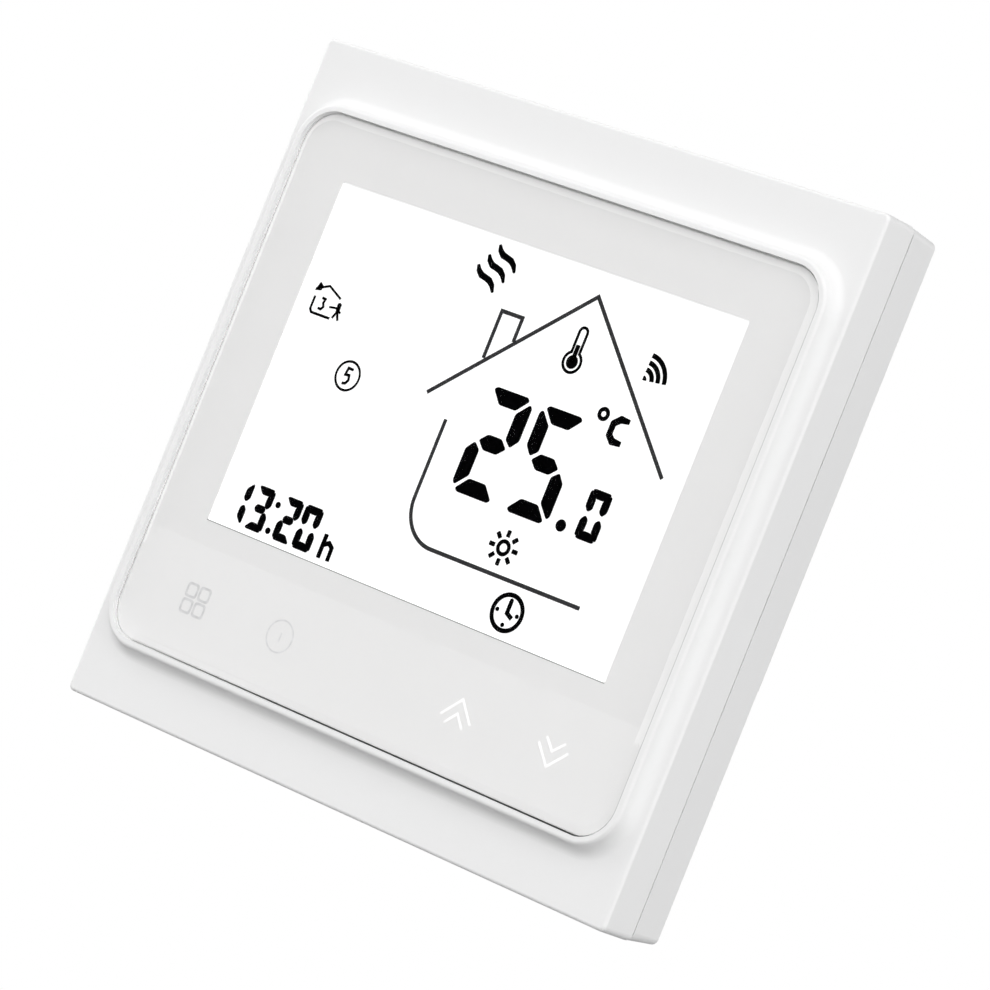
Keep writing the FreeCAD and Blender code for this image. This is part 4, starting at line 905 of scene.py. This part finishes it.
class THERMOSTAT_OT_key_marks(Step, bpy.types.Operator):
    """Draws the marks of the four touch keys on the film"""

    bl_idname = "thermostat.key_marks"
    bl_label = "Touch Key Marks"

    def make(self, scene):
        low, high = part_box("touch_lens")
        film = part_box("mask_film")[0]
        self.height = -film.y + PRINT_AHEAD
        self.level = low.z + 7.65 * MM
        self.line = scene.shell_finish.key_line / MM
        grey = finish_ink("key_grey", (0.68, 0.68, 0.685))
        faint = finish_ink("key_faint", (0.755, 0.755, 0.76))
        bright = finish_ink("key_white", (0.95, 0.95, 0.95), glow=0.2)
        for name, at, draw, material in (
            ("menu_mark", -29.6, self.draw_menu, grey), ("power_mark", -14.9, self.draw_power, faint),
            ("up_mark", 14.7, self.draw_up, bright), ("down_mark", 29.5, self.draw_down, bright),
        ):
            drawing = Drawing(at * MM, self.level)
            draw(drawing)
            drawing.build(name, self.height, PRINT_THICK, material, "front_panel", "mask_print")

    def draw_menu(self, drawing):
        for u in (-1.07, 1.07):
            for v in (-1.1, 1.0):
                outer, inner = [
                    [(u - half, v - half), (u + half, v - half), (u + half, v + half), (u - half, v + half)]
                    for half in (0.98, 0.66)
                ]
                drawing.hoop(softened(outer, 0.5), softened(inner, 0.34))

    def draw_power(self, drawing):
        drawing.ring(0, 0, 2.05, 0.22)
        drawing.stroke([(0.1, -0.7), (0.1, 0.5)], 0.2)

    def draw_up(self, drawing):
        drawing.stroke([(-2.33, -0.85), (0, 1.72), (2.33, -0.85)], self.line)
        drawing.stroke([(-1.42, -1.68), (0, -0.12), (1.42, -1.68)], self.line)

    def draw_down(self, drawing):
        drawing.stroke([(-1.46, 1.62), (0, 0.22), (1.46, 1.62)], self.line)
        drawing.stroke([(-2.28, 0.68), (0, -1.72), (2.28, 0.68)], self.line)


class THERMOSTAT_OT_edge_lines(Step, bpy.types.Operator):
    """Lays the painted shadow lines under the window and up the lens's right side, and the dark strip of
    painted shadow below the lens
    """

    bl_idname = "thermostat.edge_lines"
    bl_label = "Painted Shadow Lines"

    def make(self, scene):
        glass_low, glass_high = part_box("display_cell")
        cell_side, cell_below, line = 2.5, 3.6, 0.11
        drawing = Drawing(glass_low.x, glass_low.z)
        across = (glass_high.x - glass_low.x) / MM - cell_side
        under = cell_below - line
        drawing.solid([(cell_side, under), (across, under), (across, cell_below), (cell_side, cell_below)])
        # The grey line under the window is painted shadow along the window's lower edge.
        grey = finish_ink("window_painted_shadow", (0.3, 0.3, 0.305))
        height = -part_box("mask_film")[0].y + PRINT_AHEAD
        drawing.build("window_shadow_line", height, PRINT_THICK, grey, "front_panel", "mask_print")
        self.lay_painted_shadow_strip()

    def lay_painted_shadow_strip(self):
        """A dark strip of painted shadow in the gap below the lens, growing towards the right-hand corner."""
        low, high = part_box("touch_lens")
        corner, gap, reach, steps = 4.6, 0.1, 26, 12
        wide = (high.x - low.x) / MM
        shade_strip = Drawing(low.x, low.z)
        middle = [(corner + (wide - 2 * corner) * n / steps, -gap) for n in range(steps)]
        middle += arc_points(wide - corner, corner, corner + gap, 270, 270 + reach, 8)
        widths = [0.17 * min(1, (n + 0.7) / 6, (len(middle) - n) / 6) for n in range(len(middle))]
        shade_strip.solid(ribbon(middle, widths))
        height = -low.y - 0.42 * MM
        # The dark strip is painted shadow in the gap below the lens.
        shade_strip.build("lens_shadow_strip", height, 0.4 * MM, finish_painted_shadow_strip(), "front_panel", "tape_white")
        self.draw_rim_shadow(Drawing(low.x, low.z), corner, wide, (high.z - low.z) / MM, -low.y)

    def draw_rim_shadow(self, rim_shade, corner, wide, tall, front):
        """A fine grey line of painted shadow along the ground edge, up the right side of the lens."""
        radius, fine = corner - 0.05, 0.07
        path = arc_points(wide - corner, corner, radius, 300, 360, 10)
        path += arc_points(wide - corner, tall - corner, radius, 0, 35, 8)
        count = len(path)
        rim_shade.solid(ribbon(path, [fine * min(1, (n + 1) / 5, (count - n) / 5) for n in range(count)]))
        # The grey line is painted shadow at the lens's ground edge.
        grey = finish_ink("lens_edge_painted_shadow", (0.34, 0.34, 0.345))
        rim_shade.build("lens_rim_shadow_line", front - 0.235 * MM, PRINT_THICK, grey, "front_panel", "lens_clear")


# -------------------- finishes, operator by operator

class Coating(Step):
    """What the operators that only give finishes share."""

    def make(self, scene):
        coat(*self.slots)


class THERMOSTAT_OT_shells(Coating, bpy.types.Operator):
    """Finishes the front bezel and the outer frame"""

    bl_idname = "thermostat.shells"
    bl_label = "White Shells"

    slots = ("white_shell",)


class THERMOSTAT_OT_lens(Coating, bpy.types.Operator):
    """Finishes the clear lens, the printed film behind it and its tape"""

    bl_idname = "thermostat.lens"
    bl_label = "Lens And Film"

    slots = ("lens_clear", "mask_print", "tape_white")


class THERMOSTAT_OT_display_parts(Coating, bpy.types.Operator):
    """Finishes the display glass and what lights and connects it"""

    bl_idname = "thermostat.display_parts"
    bl_label = "Display Parts"

    slots = ("display_glass", "diffuser", "led_body", "zebra_rubber")


class THERMOSTAT_OT_mouldings(Coating, bpy.types.Operator):
    """Finishes the rear cover, the case, its lid, the display holder and the blank label"""

    bl_idname = "thermostat.mouldings"
    bl_label = "Rear Mouldings"

    slots = ("white_part", "label_paper")


class THERMOSTAT_OT_metalwork(Coating, bpy.types.Operator):
    """Finishes the mounting plate, screws, pins and touch springs"""

    bl_idname = "thermostat.metalwork"
    bl_label = "Plate, Screws And Pins"

    slots = ("plate_steel", "screw_steel", "pin_gold", "spring_steel")


class THERMOSTAT_OT_boards(Coating, bpy.types.Operator):
    """Finishes the two circuit boards and the small parts on them"""

    bl_idname = "thermostat.boards"
    bl_label = "Circuit Boards"

    slots = ("board_green", "chip_black", "shield_tin", "crystal_can", "bead_epoxy")


class THERMOSTAT_OT_terminals(Coating, bpy.types.Operator):
    """Finishes the terminal block with its clamps and contacts"""

    bl_idname = "thermostat.terminals"
    bl_label = "Terminals"

    slots = ("terminal_plastic", "terminal_metal", "clamp_steel")


class THERMOSTAT_OT_relay(Coating, bpy.types.Operator):
    """Finishes the relay"""

    bl_idname = "thermostat.relay"
    bl_label = "Relay"

    slots = ("relay_clear", "coil_copper", "yoke_iron", "contact_metal", "bobbin_black")


class THERMOSTAT_OT_supply(Coating, bpy.types.Operator):
    """Finishes the transformer, capacitors, varistor and fuse of the supply"""

    bl_idname = "thermostat.supply"
    bl_label = "Power Supply Parts"

    slots = ("ferrite", "winding_tape", "can_sleeve", "film_box", "varistor_blue", "fuse_brown")


# -------------------- stage

class THERMOSTAT_OT_stage(Step, bpy.types.Operator):
    """Sets the camera, the lamps, the sky and the pale floor"""

    bl_idname = "thermostat.stage"
    bl_label = "Stage"

    def make(self, scene):
        scene.view_settings.view_transform = "Standard"
        self.add_camera(scene)
        self.add_lamp(scene, "key_lamp", (-0.55, -0.75, 0.95), 0.9, scene.stage_setup.key_power)
        self.make_sky(scene)
        self.add_floor(scene)

    def add_camera(self, scene):
        setup = scene.stage_setup
        data = bpy.data.cameras.new("camera")
        data.lens, data.clip_start = setup.lens, 0.01
        camera = bpy.data.objects.new("camera", data)
        scene.collection.objects.link(camera)
        a, e = setup.azimuth, setup.elevation
        back = Vector((math.sin(a) * math.cos(e), -math.cos(a) * math.cos(e), math.sin(e)))
        camera.location = Vector(setup.target) + back * setup.distance
        camera.rotation_mode = "QUATERNION"
        camera.rotation_quaternion = (-back).to_track_quat("-Z", "Y") @ Quaternion((0, 0, 1), setup.roll)
        scene.camera = camera

    def add_lamp(self, scene, name, place, size, power):
        data = bpy.data.lights.new(name, "AREA")
        data.shape, data.size, data.energy = "DISK", size, power
        lamp = bpy.data.objects.new(name, data)
        lamp.location = place
        lamp.rotation_mode = "QUATERNION"
        lamp.rotation_quaternion = (Vector((0, 0, 0)) - Vector(place)).to_track_quat("-Z", "Y")
        lamp.visible_camera = False
        scene.collection.objects.link(lamp)

    def make_sky(self, scene):
        """White behind the object. The light on it is broad, with a dark card that the lens mirrors."""
        world = bpy.data.worlds.new("studio")
        scene.world = world
        world.use_nodes = True
        tree = world.node_tree
        way = add_node(tree, "TexCoord").outputs["Generated"]
        height = add_node(tree, "SeparateXYZ", {"Vector": way}).outputs["Z"]
        glow = in_steps(tree, height, -0.2, 1.0, 0.0, 0.05)
        setup = scene.stage_setup
        for towards, power in (
            ((-0.03, -1.0, 0.0), setup.front_light), ((1.0, 0.0, 0.0), setup.right_light),
            ((-1.0, 0.0, 0.0), setup.left_light),
        ):
            glow = worked(tree, "ADD", glow, self.lobe(tree, way, towards, power))
        card_way, card_edge, card_heart = Vector((-0.598, -0.801, -0.016)), math.radians(26), math.radians(16)
        facing = add_node(tree, "VectorMath", {0: way, 1: card_way}, operation="DOT_PRODUCT").outputs["Value"]
        card = in_steps(tree, facing, math.cos(card_edge), math.cos(card_heart), 1.0, 0.0)
        lit = scaled(tree, glow, card)
        grey = add_node(tree, "CombineXYZ", {0: lit, 1: lit, 2: lit}).outputs[0]
        seen = add_node(tree, "LightPath").outputs["Is Camera Ray"]
        shade = blended(tree, seen, grey, (1.0, 1.0, 1.0))
        tree.links.new(shade, tree.nodes["Background"].inputs["Color"])

    def lobe(self, tree, way, towards, power):
        """Broad light that is strongest in one direction and none behind it."""
        feeds = {0: way, 1: Vector(towards).normalized()}
        facing = add_node(tree, "VectorMath", feeds, operation="DOT_PRODUCT").outputs["Value"]
        return scaled(tree, worked(tree, "POWER", worked(tree, "MAXIMUM", facing, 0.0), 2.0), power)

    def add_floor(self, scene):
        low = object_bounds()[0].z - scene.stage_setup.drop
        half = 6.0
        data = bpy.data.meshes.new("floor")
        corners = [(-half, -half, low), (half, -half, low), (half, half, low), (-half, half, low)]
        data.from_pydata(corners, [], [(0, 1, 2, 3)])
        floor = bpy.data.objects.new("floor", data)
        scene.collection.objects.link(floor)
        made = Finish("floor_paper", Roughness=0.9)
        mottle = made.noise(40.0, 3.0)
        made.feed("Base Color", made.blend(mottle, (0.34, 0.34, 0.34), (0.38, 0.38, 0.38)))
        seen = add_node(made.tree, "LightPath").outputs["Is Camera Ray"]
        white = add_node(made.tree, "Emission", {"Color": (1, 1, 1, 1), "Strength": 1.0}).outputs[0]
        mixed = add_node(made.tree, "MixShader", {0: seen, 1: made.shader.outputs[0], 2: white}).outputs[0]
        made.tree.links.new(mixed, made.output.inputs["Surface"])
        data.materials.append(made.material)
        floor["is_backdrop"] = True


STEPS = (
    THERMOSTAT_OT_stage, THERMOSTAT_OT_shells, THERMOSTAT_OT_lens, THERMOSTAT_OT_display_parts,
    THERMOSTAT_OT_temperature, THERMOSTAT_OT_clock_figures, THERMOSTAT_OT_house, THERMOSTAT_OT_symbols,
    THERMOSTAT_OT_key_marks, THERMOSTAT_OT_edge_lines, THERMOSTAT_OT_mouldings, THERMOSTAT_OT_metalwork,
    THERMOSTAT_OT_boards, THERMOSTAT_OT_terminals, THERMOSTAT_OT_relay, THERMOSTAT_OT_supply,
)


class THERMOSTAT_PT_panel(bpy.types.Panel):
    """Lists the steps and their sizes"""

    bl_label = "Wall Thermostat"
    bl_idname = "THERMOSTAT_PT_panel"
    bl_space_type = "VIEW_3D"
    bl_region_type = "UI"
    bl_category = "Thermostat"

    def draw(self, context):
        for step in STEPS:
            self.layout.operator(step.bl_idname)
        for group in (context.scene.display_sizes, context.scene.shell_finish, context.scene.stage_setup):
            box = self.layout.box()
            for name in group.bl_rna.properties.keys():
                if name not in ("rna_type", "name"):
                    box.prop(group, name)


GROUPS = {"display_sizes": DisplaySizes, "shell_finish": ShellFinish, "stage_setup": StageSetup}


def register():
    for group in GROUPS.values():
        bpy.utils.register_class(group)
    for name, group in GROUPS.items():
        setattr(bpy.types.Scene, name, PointerProperty(type=group))
    for step in STEPS + (THERMOSTAT_PT_panel,):
        bpy.utils.register_class(step)


def unregister():
    for step in STEPS + (THERMOSTAT_PT_panel,):
        bpy.utils.unregister_class(step)
    for name, group in GROUPS.items():
        delattr(bpy.types.Scene, name)
        bpy.utils.unregister_class(group)


def main():
    register()
    for make_group in (
        make_moulded_grain, make_handling, make_drawn_metal, make_etched_tracks, make_wound_wire,
    ):
        make_group()
    for step in STEPS:
        area, name = step.bl_idname.split(".")
        getattr(getattr(bpy.ops, area), name)()


if __name__ == "__main__":
    main()
